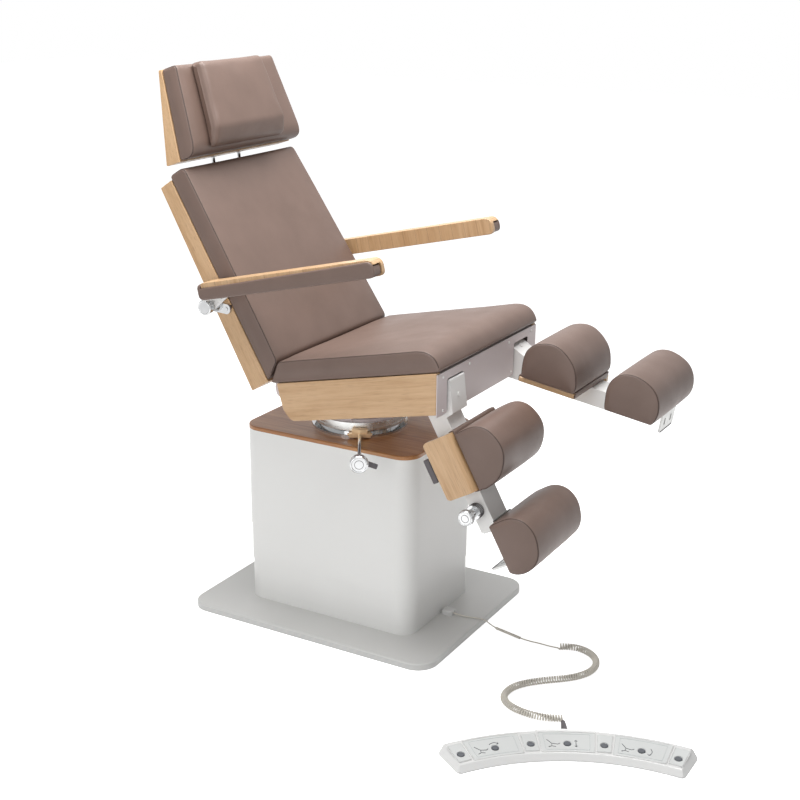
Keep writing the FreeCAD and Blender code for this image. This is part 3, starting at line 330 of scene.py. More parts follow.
turned_steel = metal("turned_steel", (0.66, 0.66, 0.645, 1.0), 0.24, (1.0, 1.0, 90.0), relief=0.1)
brushed_steel = metal("brushed_steel", (0.47, 0.47, 0.46, 1.0), 0.3, (1.0, 1.0, 0.05), relief=0.1)
satin_brass = metal("satin_brass", (0.83, 0.6, 0.36, 1.0), 0.36, (1.0, 1.0, 60.0), relief=0.08, metallic=0.6)

# Finish of each rigid piece
finishes = {
    "base_plate": plate_coat, "lower_housing": white_housing, "middle_housing": white_housing,
    "upper_housing": white_housing, "lift_pillar_lower": brushed_steel, "top_cover": oak_cover_painted_shade,
    "turntable_base": chrome, "turntable_drum": turned_steel, "tilt_carrier": mauve_coat,
    "brake_clamp": satin_brass, "brake_knob": chrome, "brake_lever": dark_moulding,
    "seat_frame": mauve_coat, "side_panels": oak_seat, "front_apron": mauve_coat,
    "back_frame": mauve_coat, "back_shell": oak_back, "arm_pivots": chrome,
    "head_rods": chrome, "head_shell": oak_head,
    "pedal_socket": white_moulding, "inline_sleeve": jacket, "pedal_strain_relief": dark_moulding,
    "pedal_base": dark_moulding, "pedal_cover": white_moulding, "pedal_panels": pale_film,
}
for number in range(1, 8):
    finishes["pedal_button_" + str(number)] = button_rubber
for side in sides:
    finishes["arm_bracket_" + side] = white_powder
    finishes["arm_board_" + side] = oak_arm
    finishes["leg_bar_" + side] = white_powder
    finishes["calf_board_" + side] = oak_calf[side]
    finishes["calf_handle_" + side] = dark_moulding
    finishes["leg_knob_" + side] = chrome
    finishes["foot_slide_" + side] = brushed_steel
for name, material in finishes.items():
    nodes[name].data.materials.clear()
    nodes[name].data.materials.append(material)


def walk(line, count):
    """(point, number of its stretch) at count + 1 even distances along an open line."""
    lengths = [0.0]
    for here, there in zip(line, line[1:]):
        lengths.append(lengths[-1] + (there - here).length)
    at = 0
    for k in range(count + 1):
        distance = lengths[-1] * k / count
        while at < len(lengths) - 2 and lengths[at + 1] < distance:
            at += 1
        span = lengths[at + 1] - lengths[at]
        yield line[at].lerp(line[at + 1], (distance - lengths[at]) / span if span > 1e-9 else 0.0), at


# Cords: the route's points are the control points of each smooth line
def smooth_line(name, points, radius, around=4, along=12):
    """Curve object of one open smooth spline through a route's control points."""
    curve = bpy.data.curves.new(name, "CURVE")
    curve.dimensions = "3D"
    spline = curve.splines.new("NURBS")
    spline.points.add(len(points) - 1)
    for place, spot in zip(spline.points, points):
        place.co = (*metres(spot), 1.0)
    spline.order_u = 3
    spline.use_endpoint_u = True
    spline.use_smooth = True
    spline.resolution_u = along
    curve.resolution_u = along
    curve.bevel_depth = radius * MM
    curve.bevel_resolution = around
    curve.use_fill_caps = True
    return in_scene(name, curve)


def metres(point):
    """Point in metres."""
    return tuple(value * MM for value in point)


def jacketed(made, stands_for):
    """Gives a cord its jacket and its place on the part."""
    made.data.materials.append(jacket)
    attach(made, "base")
    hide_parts(stands_for)


lead_route = [(319.5, 3, 25), (348, 3, 22.6), (380, 11.5, 21.6), (411, 19, 22.2), (435, 21.4, 6.6)]
lead_route += [(451.6, 17.5, 4.3)]
tail_route = [(537.6, -3, 4.3), (566, -4.5, 2.9), (598, 0, 2.3), (630, -2.5, 2.5), (652, 0.5, 2.9)]
curl_route = [(660, -3), (676, 8), (701, 16), (729, 14), (757, 1), (779, -22), (791, -52)]
curl_route += [(792, -84), (783, -113), (766, -140), (742, -165), (715, -188), (689, -212)]
curl_route += [(665, -238), (647, -268), (640, -300), (644, -331), (660, -354), (685, -369)]
curl_route += [(715, -377), (746, -379), (775, -375), (801, -366), (823, -353)]
lead_radius = 2.0
wire_radius = 2.3
curl_radius = 7.8
curl_height = 10.2
curl_count = 98
points_per_curl = 16
# The foot control is an arc about this centre; its middle lies at this angle from X
pedal_centre = Vector((1180.0, -1012.0, 0.0))
pedal_middle = 118.5

cord_lead = smooth_line("lead_from_socket", lead_route, lead_radius)
jacketed(cord_lead, "cord_lead")
metres(lead_route[0])
cord_tail = smooth_line("lead_to_curls", tail_route, lead_radius)
jacketed(cord_tail, "cord_tail")
metres(tail_route[0])

# The curls wind about a guide on the floor, from the tail to the strain relief
guide = smooth_line("curl_guide", [(x, y, 0.0) for x, y in curl_route], 0.0, along=16)
guide_mesh = bpy.data.meshes.new_from_object(guide)
guide_points = [vertex.co.xy / MM for vertex in guide_mesh.vertices]
bpy.data.objects.remove(guide)
curl_points = [tail_route[-1], (657, 1.2, 2.6)]
for step, (spot, at) in enumerate(walk(guide_points, curl_count * points_per_curl)):
    heading = (guide_points[min(at + 3, len(guide_points) - 1)] - guide_points[max(at - 2, 0)]).normalized()
    turn = 2.0 * math.pi * step / points_per_curl
    sideways = curl_radius * math.sin(turn)
    curl_points.append((spot.x + heading.y * sideways, spot.y - heading.x * sideways,
                        curl_height - curl_radius * math.cos(turn)))
relief_angle = math.radians(pedal_middle)
relief_height = 11.5
for radius in (734.0, 729.0):
    curl_points.append((pedal_centre.x + radius * math.cos(relief_angle),
                        pedal_centre.y + radius * math.sin(relief_angle), relief_height))
curly_cord = smooth_line("curly_cord", curl_points, wire_radius, around=2, along=2)
jacketed(curly_cord, "coil_cord")
metres(curl_points[0])


# Frames of the leaning units: u runs forward, v up, both in millimetres
def leaning(degrees, origin):
    """Function that turns (u, y, v) of a leaning unit into a place in metres."""
    cosine = math.cos(math.radians(degrees))
    sine = math.sin(math.radians(degrees))

    def place(u, y, v):
        forward = origin[0] + u * cosine - v * sine
        up = origin[1] + u * sine + v * cosine
        return Vector((forward * MM, y * MM, up * MM))

    return place


on_seat = leaning(seat_angle, (0.0, 763.6))
on_back = leaning(back_angle, (-113.4, 745.5))
on_head = leaning(head_angle, (-416.0, 1322.0))
on_arm = leaning(arm_angle, (-298.0, 1010.0))
on_leg = {side: leaning(angle, (384.0, 781.0)) for side, angle in leg_angles.items()}


# Outlines
def rounded(corners):
    """Closed outline with an arc at each corner (u, v, radius); None rounds as far as the edges allow."""
    arc_steps = 8
    line = []
    for i, (u, v, radius) in enumerate(corners):
        here = Vector((u, v))
        back = Vector(corners[i - 1][:2]) - here
        onward = Vector(corners[(i + 1) % len(corners)][:2]) - here
        half = max(back.angle(onward) / 2.0, 0.05)
        reach = 0.45 * min(back.length, onward.length)
        if radius is not None:
            reach = min(reach, radius / math.tan(half))
        first = here + back.normalized() * reach
        last = here + onward.normalized() * reach
        for k in range(arc_steps + 1):
            t = k / arc_steps
            line.append(first * (1 - t) ** 2 + here * (2 * t * (1 - t)) + last * t * t)
    return line


def evenly(line, count):
    """count + 1 points at even distances along an open line."""
    return [point for point, at in walk(line, count)]


def loop_between(corners, first, last, count):
    """The outline as 2 * count points: from first to last one way, and back the other way."""
    fine_steps = 500
    line = rounded(corners)
    line = evenly(line + line[:1], fine_steps)[:-1]
    start = min(range(len(line)), key=lambda i: (line[i] - Vector(first)).length)
    line = line[start:] + line[:start]
    stop = min(range(len(line)), key=lambda i: (line[i] - Vector(last)).length)
    onward = evenly(line[:stop + 1], count)
    back = evenly(line[stop:] + line[:1], count)
    return onward[:-1] + back[:-1]


def pulled_in(loop, distance):
    """The outline moved inwards."""
    area = sum(a.x * b.y - b.x * a.y for a, b in zip(loop, loop[1:] + loop[:1]))
    sign = 1.0 if area > 0 else -1.0
    moved = []
    for i, here in enumerate(loop):
        along = (loop[(i + 1) % len(loop)] - loop[i - 1]).normalized()
        moved.append(here + Vector((-along.y, along.x)) * (sign * distance))
    return moved


def lofted(name, sections, cap_rows, bulge, place):
    """Closed skin through rows of (u, y, v) points; both ends are filled with rungs that bulge a little."""
    count = len(sections[0])
    half = count // 2
    # The bulge fades out over the last sixth at each end of the ladder
    fade = 6.0
    points = [spot for section in sections for spot in section]
    faces = []
    for row in range(len(sections) - 1):
        for i in range(count):
            j = (i + 1) % count
            faces.append((row * count + i, row * count + j, (row + 1) * count + j, (row + 1) * count + i))
    for end in (0, len(sections) - 1):
        outward = -1.0 if end == 0 else 1.0
        base = end * count
        ladder = [[base] * (cap_rows + 1)]
        for k in range(1, half):
            upper = points[base + k]
            lower = points[base + count - k]
            rung = [base + k]
            for m in range(1, cap_rows):
                t = m / cap_rows
                ends = min(1.0, fade * k / half, fade * (half - k) / half)
                swell = bulge * outward * math.sin(math.pi * t) * ends
                rung.append(len(points))
                points.append((upper[0] + (lower[0] - upper[0]) * t,
                               upper[1] + (lower[1] - upper[1]) * t + swell,
                               upper[2] + (lower[2] - upper[2]) * t))
            rung.append(base + count - k)
            ladder.append(rung)
        ladder.append([base + half] * (cap_rows + 1))
        for low, high in zip(ladder, ladder[1:]):
            for m in range(cap_rows):
                face = [low[m], low[m + 1], high[m + 1], high[m]]
                face = [corner for i, corner in enumerate(face) if corner != face[i - 1]]
                if len(face) > 2:
                    faces.append(tuple(face if end == 0 else reversed(face)))
    mesh = bpy.data.meshes.new(name)
    mesh.from_pydata([place(*spot) for spot in points], [], faces)
    mesh.validate()
    made = in_scene(name, mesh)
    outwards(made)
    return made, points


def outwards(piece):
    """Points every face of a closed piece outwards and shades it smooth."""
    work = bmesh.new()
    work.from_mesh(piece.data)
    bmesh.ops.remove_doubles(work, verts=work.verts, dist=1e-6)
    bmesh.ops.recalc_face_normals(work, faces=work.faces)
    work.to_mesh(piece.data)
    work.free()
    piece.data.shade_smooth()


def cross_rows(half_width, rim, pitch):
    """Rows from the middle to one end: (distance from the end, pull-in, groove depth)."""
    rows = []
    flat = half_width - rim
    steps = max(3, round(flat / pitch))
    for k in range(steps):
        rows.append((half_width - flat * k / steps, 0.0, 0.0))
    for degrees, groove in ((0, 0.0), (18, 0.3), (32, 0.5), (43, -1.3), (54, 0.4), (70, 0.0), (90, 0.0)):
        angle = math.radians(degrees)
        rows.append((rim * (1 - math.sin(angle)), rim * (1 - math.cos(angle)), groove))
    return rows


def both_ways(rows):
    """Rows of one half as (side, row) from one end to the other."""
    return [(-1.0, row) for row in reversed(rows)] + [(1.0, row) for row in rows[1:]]


def cushion(name, profile, first, last, count, place, half, rows, swell, cap_rows, bulge):
    """Crowned cover: one outline drawn across the width, fuller in the middle, with drawn-in sides."""
    rim_zone = 30.0
    widest = rows[0][0]
    sections = []
    grooves = []
    for side, (from_end, pull, groove) in both_ways(rows):
        across = 1.0 - from_end / widest
        crown = swell * (1.0 - across ** 2.2) if across > 0.0 else swell
        loop = loop_between(profile(crown), first, last, count)
        if pull > 0.0:
            loop = pulled_in(loop, pull)
        section = []
        for spot in loop:
            reach = half(spot.y)
            y = side * (reach - from_end * (reach / widest if from_end > rim_zone else 1.0))
            if from_end >= widest:
                y = 0.0
            section.append((spot.x, y, spot.y))
        sections.append(section)
        grooves.append(groove)
    piece, points = lofted(name, sections, cap_rows, bulge, place)
    return piece, points, grooves, len(sections[0])


def fill_out(piece, free, most):
    """Blows the cover up as its filling does; free holds each point's share, most the longest move in mm."""
    frames = 20
    start = [vertex.co.copy() for vertex in piece.data.vertices]
    cloth = piece.modifiers.new("filling", "CLOTH")
    cloth.settings.quality = 4
    cloth.settings.mass = 0.35
    cloth.settings.use_pressure = True
    cloth.settings.uniform_pressure_force = 4.0
    cloth.settings.effector_weights.gravity = 0.0
    cloth.collision_settings.use_collision = False
    cloth.point_cache.frame_start = 1
    cloth.point_cache.frame_end = frames
    for number in range(1, frames + 1):
        bpy.context.scene.frame_set(number)
    blown = evaluated_mesh(piece)
    for vertex, before, after, share in zip(piece.data.vertices, start, blown.vertices, free):
        move = after.co - before
        if move.length > most * MM:
            move = move.normalized() * most * MM
        vertex.co = before + move * share
    piece.modifiers.remove(cloth)
    bpy.context.scene.frame_set(1)
    piece.data.update()


def sew(piece, grooves, count, points, shows):
    """Draws each seam row in, puffs the rows beside it and darkens the stitch line, where the seam shows; the
    dark stands partly for the thread and partly is painted shade of the seam's groove.
    """
    normals = [vertex.normal.copy() for vertex in piece.data.vertices]
    seam_darkened = set()
    for row, depth in enumerate(grooves):
        if depth == 0.0:
            continue
        for i in range(count):
            index = row * count + i
            spot = points[index]
            shown = shows(spot[0], spot[2])
            piece.data.vertices[index].co += normals[index] * (depth * shown * MM)
            if depth < 0.0 and shown > 0.5:
                seam_darkened.add(index)
    # Faces on the stitch line get the dark seam colour, thread and painted groove shade in one
    for material in (taupe_hide, seam_thread_and_shade):
        piece.data.materials.append(material)
    for face in piece.data.polygons:
        if len(seam_darkened.intersection(face.vertices)) > 1:
            face.material_index = 1
    piece.data.update()


def finer(piece):
    """Subdivision surface, applied at the end of the work on a piece."""
    smooth = piece.modifiers.new("finer", "SUBSURF")
    smooth.levels = 1
    smooth.render_levels = 1
    mesh = evaluated_mesh(piece)
    piece.modifiers.remove(smooth)
    piece.data = mesh
    mesh.shade_smooth()


def upholster(piece, body, *stands_for):
    """Gives a finished cover its place on the part and hides the solids it stands for; trim stands for no
    solid.
    """
    if not piece.data.materials:
        piece.data.materials.append(taupe_hide)
    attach(piece, body)
    if stands_for:
        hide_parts(*stands_for)


def ease(value, low, high):
    """0 below low, 1 above high, smooth between."""
    t = min(1.0, max(0.0, (value - low) / (high - low)))
    return t * t * (3.0 - 2.0 * t)


def seat_profile(crown):
    """Seat cushion in the side view."""
    corners = [(-111.0, 1.2, 6.0), (432.0, 1.2, 8.0), (431.0, 22.0, None), (421.0, 43.0, None)]
    corners += [(401.0, 57.0, None), (374.0, 61.5, None), (300.0, 60.0 + crown * 0.6, None)]
    corners += [(160.0, 60.0 + crown, None), (0.0, 60.0 + crown * 0.7, None), (-74.0, 59.0, 9.0)]
    return corners


def back_profile(crown):
    """Back cushion in the side view."""
    corners = [(0.8, 1.4, 2.0), (57.0, 36.5, 12.0), (58.0 + crown * 0.7, 170.0, None)]
    corners += [(58.0 + crown, 330.0, None), (58.0 + crown * 0.7, 500.0, None)]
    return corners + [(57.0, 632.0, 16.0), (0.8, 632.0, 5.0)]


def head_profile(crown):
    """Headrest cushion in the side view."""
    corners = [(0.8, -2.0, 3.0), (34.0, -2.0, None), (50.0, 8.0, None), (56.0, 29.0, None)]
    corners += [(55.0 + crown * 0.8, 100.0, None), (53.0 + crown, 170.0, None)]
    return corners + [(51.0, 252.0, 9.0), (0.8, 252.0, 4.0)]


def pillow_profile(crown):
    """Neck pillow in the side view: nearly even, turned under at the bottom."""
    corners = [(57.8, 12.0, 4.0), (67.0, 10.0, None), (82.0, 20.0, 14.0), (99.0 + crown, 60.0, 24.0)]
    corners += [(97.0 + crown, 115.0, None), (95.0 + crown, 180.0, None)]
    return corners + [(91.5, 249.0, 16.0), (53.2, 249.0, 5.0), (58.4, 100.0, None)]


def tapering(half_width, loss, low, height):
    """Function that gives the half width at v, where the loss spreads over the height above low."""
    return lambda v: half_width - loss * (v - low) / height


seat_half_width = 300.0
head_half_width = 267.0
pillow_half_width = 174.0
seat_half = tapering(seat_half_width, 0.0, 0.0, 630.0)
back_half = tapering(seat_half_width, 30.0, 0.0, 630.0)
head_half = tapering(head_half_width, 36.0, -4.0, 254.0)
pillow_half = tapering(pillow_half_width, 28.0, 8.0, 242.0)
pillow_shift = -25.0


def on_pillow(u, y, v):
    """Place on the headrest, shifted as the pillow is."""
    return on_head(u, y + pillow_shift, v)


def padded_cover(name, body, stands_for, shape, loose, most, shows):
    """One cushion's cover: shaped, blown up where it is loose, sewn and put in its place."""
    piece, spots, grooves, count = cushion(name, **shape)
    fill_out(piece, [loose(spot[0], spot[2]) for spot in spots], most)
    sew(piece, grooves, count, spots, shows)
    finer(piece)
    upholster(piece, body, stands_for)


seat_shape = dict(
    profile=seat_profile, first=(-93, 30), last=(432, 14), count=62, place=on_seat, half=seat_half,
    rows=cross_rows(seat_half_width, rim=7.0, pitch=13.0), swell=7.0, cap_rows=6, bulge=2.5)
back_shape = dict(
    profile=back_profile, first=(29, 18), last=(29, 632), count=66, place=on_back, half=back_half,
    rows=cross_rows(seat_half_width, rim=7.0, pitch=13.0), swell=6.0, cap_rows=6, bulge=2.5)
head_shape = dict(
    profile=head_profile, first=(24, -2), last=(26, 252), count=34, place=on_head, half=head_half,
    rows=cross_rows(head_half_width, rim=8.0, pitch=12.0), swell=2.0, cap_rows=6, bulge=2.5)
pillow_shape = dict(
    profile=pillow_profile, first=(64, 10), last=(60, 249), count=32, place=on_pillow, half=pillow_half,
    rows=cross_rows(pillow_half_width, rim=16.0, pitch=11.0), swell=2.5, cap_rows=4, bulge=2.0)
padded_cover("seat_cover", "seat", "seat_cushion", seat_shape,
             lambda u, v: ease(v, 2.0, 16.0), 3.5, lambda u, v: ease(v, 6.0, 14.0))
padded_cover("back_cover", "back", "back_cushion", back_shape,
             lambda u, v: ease(u, 2.0, 14.0), 3.0, lambda u, v: ease(u, 8.0, 20.0))
padded_cover("head_cover", "head", "head_cushion", head_shape,
             lambda u, v: ease(u, 2.0, 14.0), 2.5, lambda u, v: ease(u, 8.0, 20.0))
# The pillow's seams are soft folds without a stitch line
padded_cover("pillow_cover", "head", "head_pillow", pillow_shape,
             lambda u, v: ease(u, 60.0, 70.0), 3.0, lambda u, v: 0.5 * ease(u, 62.0, 70.0))

# Rolls: outlines in the side view, (along, above) in millimetres
calf_flat = [(0, 0), (-2, 24), (-3, 52), (1, 72), (10, 88), (25, 101), (46, 110), (69, 115)]
calf_flat += [(90, 112), (111, 101), (127, 88), (139, 75), (148, 58), (154, 35), (157, 14), (151, 0)]
foot_flat = [(0, 0), (-2, 22), (-4, 56), (1, 78), (14, 97), (33, 109), (57, 114), (83, 109)]
foot_flat += [(105, 100), (121, 87), (133, 67), (138, 41), (136, 20), (126, 0)]
calf_stretch = (1.055, 1.05)
foot_stretch = (1.09, 1.07)
calf_flat = [(u * calf_stretch[0], v * calf_stretch[1]) for u, v in calf_flat]
foot_flat = [(u * foot_stretch[0], v * foot_stretch[1]) for u, v in foot_flat]


def on_side(side, inner, outer):
    """Range along Y on one side of the chair, low end first."""
    return (inner, outer) if side == "left" else (-outer, -inner)


def roll_cover(name, flat, start, low, y0, y1, place):
    """Upholstered roll with a sewn-in end on each side."""
    corners = []
    for i, (u, v) in enumerate(flat):
        corners.append((start + u, low + v, 5.0 if i in (0, len(flat) - 1) else None))
    corners.reverse()
    middle = (y0 + y1) / 2.0
    reach = (y1 - y0) / 2.0
    first = (start + 2.0, low)
    last = (start + flat[-1][0] - 2.0, low)
    sections = []
    grooves = []
    rows = cross_rows(reach, rim=6.5, pitch=12.0)
    for side, (from_end, pull, groove) in both_ways(rows):
        drawn = 0.9 * (1.0 - ease(from_end, 0.0, 60.0))
        loop = pulled_in(loop_between(corners, last, first, 30), pull + drawn)
        sections.append([(spot.x, middle + side * (reach - from_end), spot.y) for spot in loop])
        grooves.append(groove)
    piece, spots = lofted(name, sections, cap_rows=9, bulge=3.0, place=place)
    sew(piece, grooves, len(sections[0]), spots, lambda u, v: ease(v - low, 4.0, 12.0))
    finer(piece)
    return piece


rolls = {"calf": (calf_flat, 113.0, 9.3, (20.0, 272.0), "leg_"),
         "foot": (foot_flat, 366.0, 1.0, (8.0, 290.0), "foot_")}
# Leather bands folded over both ends of the calf board: outline, and the middles of its foot and its tip
bands = {"upper": ([(104.2, -5, 0.6), (106.4, -5, 0.6), (106.4, 9, 0.5), (119, 9.2, 0.5), (119, 14, 0.5),
                    (104.2, 14, 7)], 105.3, 119.0),
         "lower": ([(272.8, -5, 0.6), (275, -5, 0.6), (277, 14, 1.0), (266, 14, 0.5), (266, 9.2, 0.5),
                    (272.8, 9, 0.5)], 273.9, 266.0)}
for side in sides:
    for part, (flat, start, low, across, body) in rolls.items():
        name = part + "_roll_cover_" + side
        cover = roll_cover(name, flat, start, low, *on_side(side, *across), on_leg[side])
        upholster(cover, body + side, part + "_roll_" + side)
    y0, y1 = on_side(side, 32.0, 266.0)
    band_rows = ((y0, 0.8), (y0 + 0.4, 0.25), (y0 + 2.0, 0.0), (y1 - 2.0, 0.0), (y1 - 0.4, 0.25), (y1, 0.8))
    for name, (corners, foot, tip) in bands.items():
        loop = loop_between(corners, (foot, -5.0), (tip, 11.6), 16)
        strips = [[(spot.x, y, spot.y) for spot in pulled_in(loop, pull)] for y, pull in band_rows]
        band, spots = lofted(name + "_band_" + side, strips, cap_rows=2, bulge=0.0, place=on_leg[side])
        upholster(band, "leg_" + side)

# Armrest pads: a filling in the board's pocket, a lip over its outer side and a cap round its rear end
core_side = [(-5, -46.8, 10), (566, -46.8, 10), (566, -13.6, 8), (-5, -13.6, 0.5)]
lip_side = [(-6, -47, 17), (567.5, -47, 12), (567.5, -4, 21), (-6, -14, 15)]
cap_side = [(-6, -47, 17), (4.2, -47, 0.5), (4.2, -2.5, 0.5), (-6, -2.5, 12)]
# Rows: outline, distance from the middle of the chair, pull-in
core_rows = ((322.0, 1.0), (324.0, 0.0), (340.0, 0.0), (355.2, 0.0))
lip_rows = ((355.2, 0.6), (355.9, 0.0), (357.4, 0.0), (358.6, 0.5), (359.8, 1.6), (360.6, 3.2), (361.0, 5.5))
end_rows = ((309.0, 2.0), (309.6, 0.9), (311.5, 0.2), (314.0, 0.0), (335.0, 0.0), (357.0, 0.0))
arm_pad_rows = [(core_side, *row) for row in core_rows] + [(lip_side, *row) for row in lip_rows]
arm_cap_rows = [(cap_side, *row) for row in end_rows]


def arm_piece(name, rows, side, cap_rows, bulge):
    """Upholstered piece of an armrest from its rows."""
    sections = []
    for corners, y, pull in rows:
        loop = loop_between(corners, (corners[0][0], -25.0), (corners[1][0], -25.0), 60)
        if pull > 0.0:
            loop = pulled_in(loop, pull)
        sections.append([(spot.x, sides[side] * y, spot.y) for spot in loop])
    if side == "right":
        sections.reverse()
    piece, spots = lofted(name + side, sections, cap_rows, bulge, on_arm)
    finer(piece)
    return piece


for side in sides:
    pad = arm_piece("arm_pad_cover_", arm_pad_rows, side, cap_rows=5, bulge=0.6)
    cap = arm_piece("arm_cap_cover_", arm_cap_rows, side, cap_rows=3, bulge=0.0)
    upholster(pad, "arm_" + side, "arm_pad_" + side)
    upholster(cap, "arm_" + side)


# Small repeated parts, placed by geometry nodes
def scatter_tree(name, item, material):
    """Puts a copy of the item on every point, turned to the point's facing."""
    tree = bpy.data.node_groups.new(name, "GeometryNodeTree")
    tree.interface.new_socket("Geometry", in_out="INPUT", socket_type="NodeSocketGeometry")
    size = tree.interface.new_socket("Size", in_out="INPUT", socket_type="NodeSocketFloat")
    size.default_value = 1.0
    tree.interface.new_socket("Geometry", in_out="OUTPUT", socket_type="NodeSocketGeometry")
    given = tree.nodes.new("NodeGroupInput").outputs
    source = put(tree, "GeometryNodeObjectInfo", {"Object": item})
    facing = put(tree, "GeometryNodeInputNamedAttribute", {"Name": "facing"}, data_type="FLOAT_VECTOR")
    turned = put(tree, "FunctionNodeAlignRotationToVector", {"Vector": facing.outputs["Attribute"]}, axis="Z")
    placed = put(tree, "GeometryNodeInstanceOnPoints",
                 {"Points": given["Geometry"], "Instance": source.outputs["Geometry"],
                  "Rotation": turned.outputs[0], "Scale": given["Size"]})
    real = put(tree, "GeometryNodeRealizeInstances", {0: placed.outputs[0]})
    painted = put(tree, "GeometryNodeSetMaterial", {"Geometry": real.outputs[0], "Material": material})
    put(tree, "NodeGroupOutput", {"Geometry": painted.outputs[0]})
    return tree, size.identifier


def scattered(name, item, material, places, size, body):
    """Copies of the item at (place, facing) pairs as one plain mesh on a body."""
    mesh = bpy.data.meshes.new(name)
    mesh.from_pydata([place for place, facing in places], [], [])
    towards = mesh.attributes.new("facing", "FLOAT_VECTOR", "POINT")
    for entry, (place, facing) in zip(towards.data, places):
        entry.vector = facing
    made = in_scene(name, mesh)
    tree, identifier = scatter_tree(name + "_tree", item, material)
    modifier = made.modifiers.new("copies", "NODES")
    modifier.node_group = tree
    modifier[identifier] = size
    result = evaluated_mesh(made)
    made.modifiers.remove(modifier)
    made.data = result
    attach(made, body)


def once_round(count):
    """Even angles once round."""
    return [2.0 * math.pi * k / count for k in range(count)]


def turned_item(name, outline_points, facets):
    """Round item about Z from (radius, height) points, closed at both ends."""
    vertices = []
    faces = []
    for radius, height in outline_points:
        for angle in once_round(facets):
            vertices.append((radius * math.cos(angle) * MM, radius * math.sin(angle) * MM, height * MM))
    for row in range(len(outline_points) - 1):
        for k in range(facets):
            j = (k + 1) % facets
            faces.append((row * facets + k, row * facets + j, (row + 1) * facets + j, (row + 1) * facets + k))
    faces.append(tuple(reversed(range(facets))))
    top = (len(outline_points) - 1) * facets
    faces.append(tuple(range(top, top + facets)))
    mesh = bpy.data.meshes.new(name)
    mesh.from_pydata(vertices, [], faces)
    return bpy.data.objects.new(name, mesh)


# Screws on the apron: a domed head with a recess
screw_profile = [(4.0, 0.0), (4.0, 1.0), (3.6, 1.7), (2.9, 2.1), (1.7, 2.2), (1.6, 0.9)]
screw_item = turned_item("screw_item", screw_profile, 12)
apron_face = 414.0
apron_spots = []
for z, row in ((835, (-268, -120, 120, 268)), (745, (-268, -138, 138, 268))):
    for y in row:
        apron_spots.append((Vector((apron_face, y, z)) * MM, (1, 0, 0)))
scattered("apron_screws", screw_item, white_powder, apron_spots, 0.9, "seat")

# Ribbed dark collars behind the leg knobs
knob_along = 325.0
knob_above = -38.0
collar_radius = 20.2
collar_middle = 252.6
rib_item = turned_item("rib_item", [(0.9, -10.5), (1.1, -9.5), (1.1, 9.5), (0.9, 10.5)], 6)
for side, sign in sides.items():
    spots = []
    for angle in once_round(36):
        along = knob_along + collar_radius * math.cos(angle)
        above = knob_above + collar_radius * math.sin(angle)
        spots.append((on_leg[side](along, sign * collar_middle, above), (0, 1, 0)))
    scattered("collar_ribs_" + side, rib_item, dark_moulding, spots, 1.0, "clamp_" + side)


def ring_about(middle, outward, radius, count):
    """Even places round an axis through the middle."""
    across = outward.orthogonal().normalized()
    along = outward.cross(across)
    return [middle + (across * math.cos(angle) + along * math.sin(angle)) * (radius * MM)
            for angle in once_round(count)]


# Chrome knobs: names of the ribs and the ring, middle of the rim, face, facing, radii of both, body
brake_turn = math.radians(-59.0)
brake_out = Vector((math.cos(brake_turn), math.sin(brake_turn), 0.0))
brake_height = Vector((0.0, 0.0, 0.5725))
knobs = [("brake_knob_ribs", "brake_knob_ring",
          brake_out * 0.374 + brake_height, brake_out * 0.3841 + brake_height, brake_out,
          24.7, 12.0, "brake")]
for side, sign in sides.items():
    knobs.append(("leg_knob_ribs_" + side, "leg_knob_ring_" + side,
                  on_leg[side](knob_along, sign * 303.4, knob_above),
                  on_leg[side](knob_along, sign * 312.1, knob_above),
                  Vector((0.0, sign, 0.0)), 21.2, 10.3, "clamp_" + side))
knob_rib = turned_item("knob_rib", [(0.55, -5.8), (0.8, -4.8), (0.8, 4.8), (0.55, 5.8)], 6)
for name, ring_name, rim, face, outward, rim_radius, ring_radius, body in knobs:
    places = [(spot, outward) for spot in ring_about(rim, outward, rim_radius, 44)]
    scattered(name, knob_rib, chrome, places, 1.0, body)

# Dark edging along the lower rim of each foot slide's end plate
rim_line = [(483.2, -64.6, 0.6), (483.2, -68.8, 1.2), (489.8, -68.8, 1.2), (489.8, -64.6, 0.6)]
rim_loop = loop_between(rim_line, (483.2, -66.6), (489.8, -66.6), 12)
for side, sign in sides.items():
    rows = [[(spot.x, sign * y, spot.y) for spot in pulled_in(rim_loop, inset)]
            for y, inset in ((157.0, 0.5), (158.0, 0.0), (246.0, 0.0), (247.0, 0.5))]
    edging, spots = lofted("slide_edging_" + side, rows, cap_rows=2, bulge=0.0, place=on_leg[side])
    edging.data.materials.append(dark_moulding)
    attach(edging, "foot_" + side)

# Foot control: raised frames, thin outlines and generic chair and arrow signs on its films
top_inner = 578.0
top_depth = 86.0
top_low = 16.0
top_rise = 11.0
button_pitch = 8.5


def on_pedal(radius, angle, lift):
    """Point on the foot control's sloping top."""
    turn = math.radians(pedal_middle + angle)
    height = top_low + (radius - top_inner) * top_rise / top_depth + lift
    return (pedal_centre + Vector((radius * math.cos(turn), radius * math.sin(turn), height))) * MM


def on_films(lines, lift):
    """Lines of (radius, angle) points laid on the foot control's top."""
    return [[on_pedal(radius, angle, lift) for radius, angle in line] for line in lines]


def tubes(name, lines, radius, material, body):
    """Thin round lines through points in metres, joined in one mesh on a body."""
    curve = bpy.data.curves.new(name, "CURVE")
    curve.dimensions = "3D"
    for line in lines:
        spline = curve.splines.new("POLY")
        spline.points.add(len(line) - 1)
        for point, spot in zip(spline.points, line):
            point.co = (*spot, 1.0)
    curve.bevel_depth = radius * MM
    curve.bevel_resolution = 1
    curve.use_fill_caps = True
    made = in_scene(name + "_line", curve)
    mesh = evaluated_mesh(made)
    bpy.data.objects.remove(made)
    piece = in_scene(name, mesh)
    mesh.materials.clear()
    mesh.materials.append(material)
    outwards(piece)
    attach(piece, body)


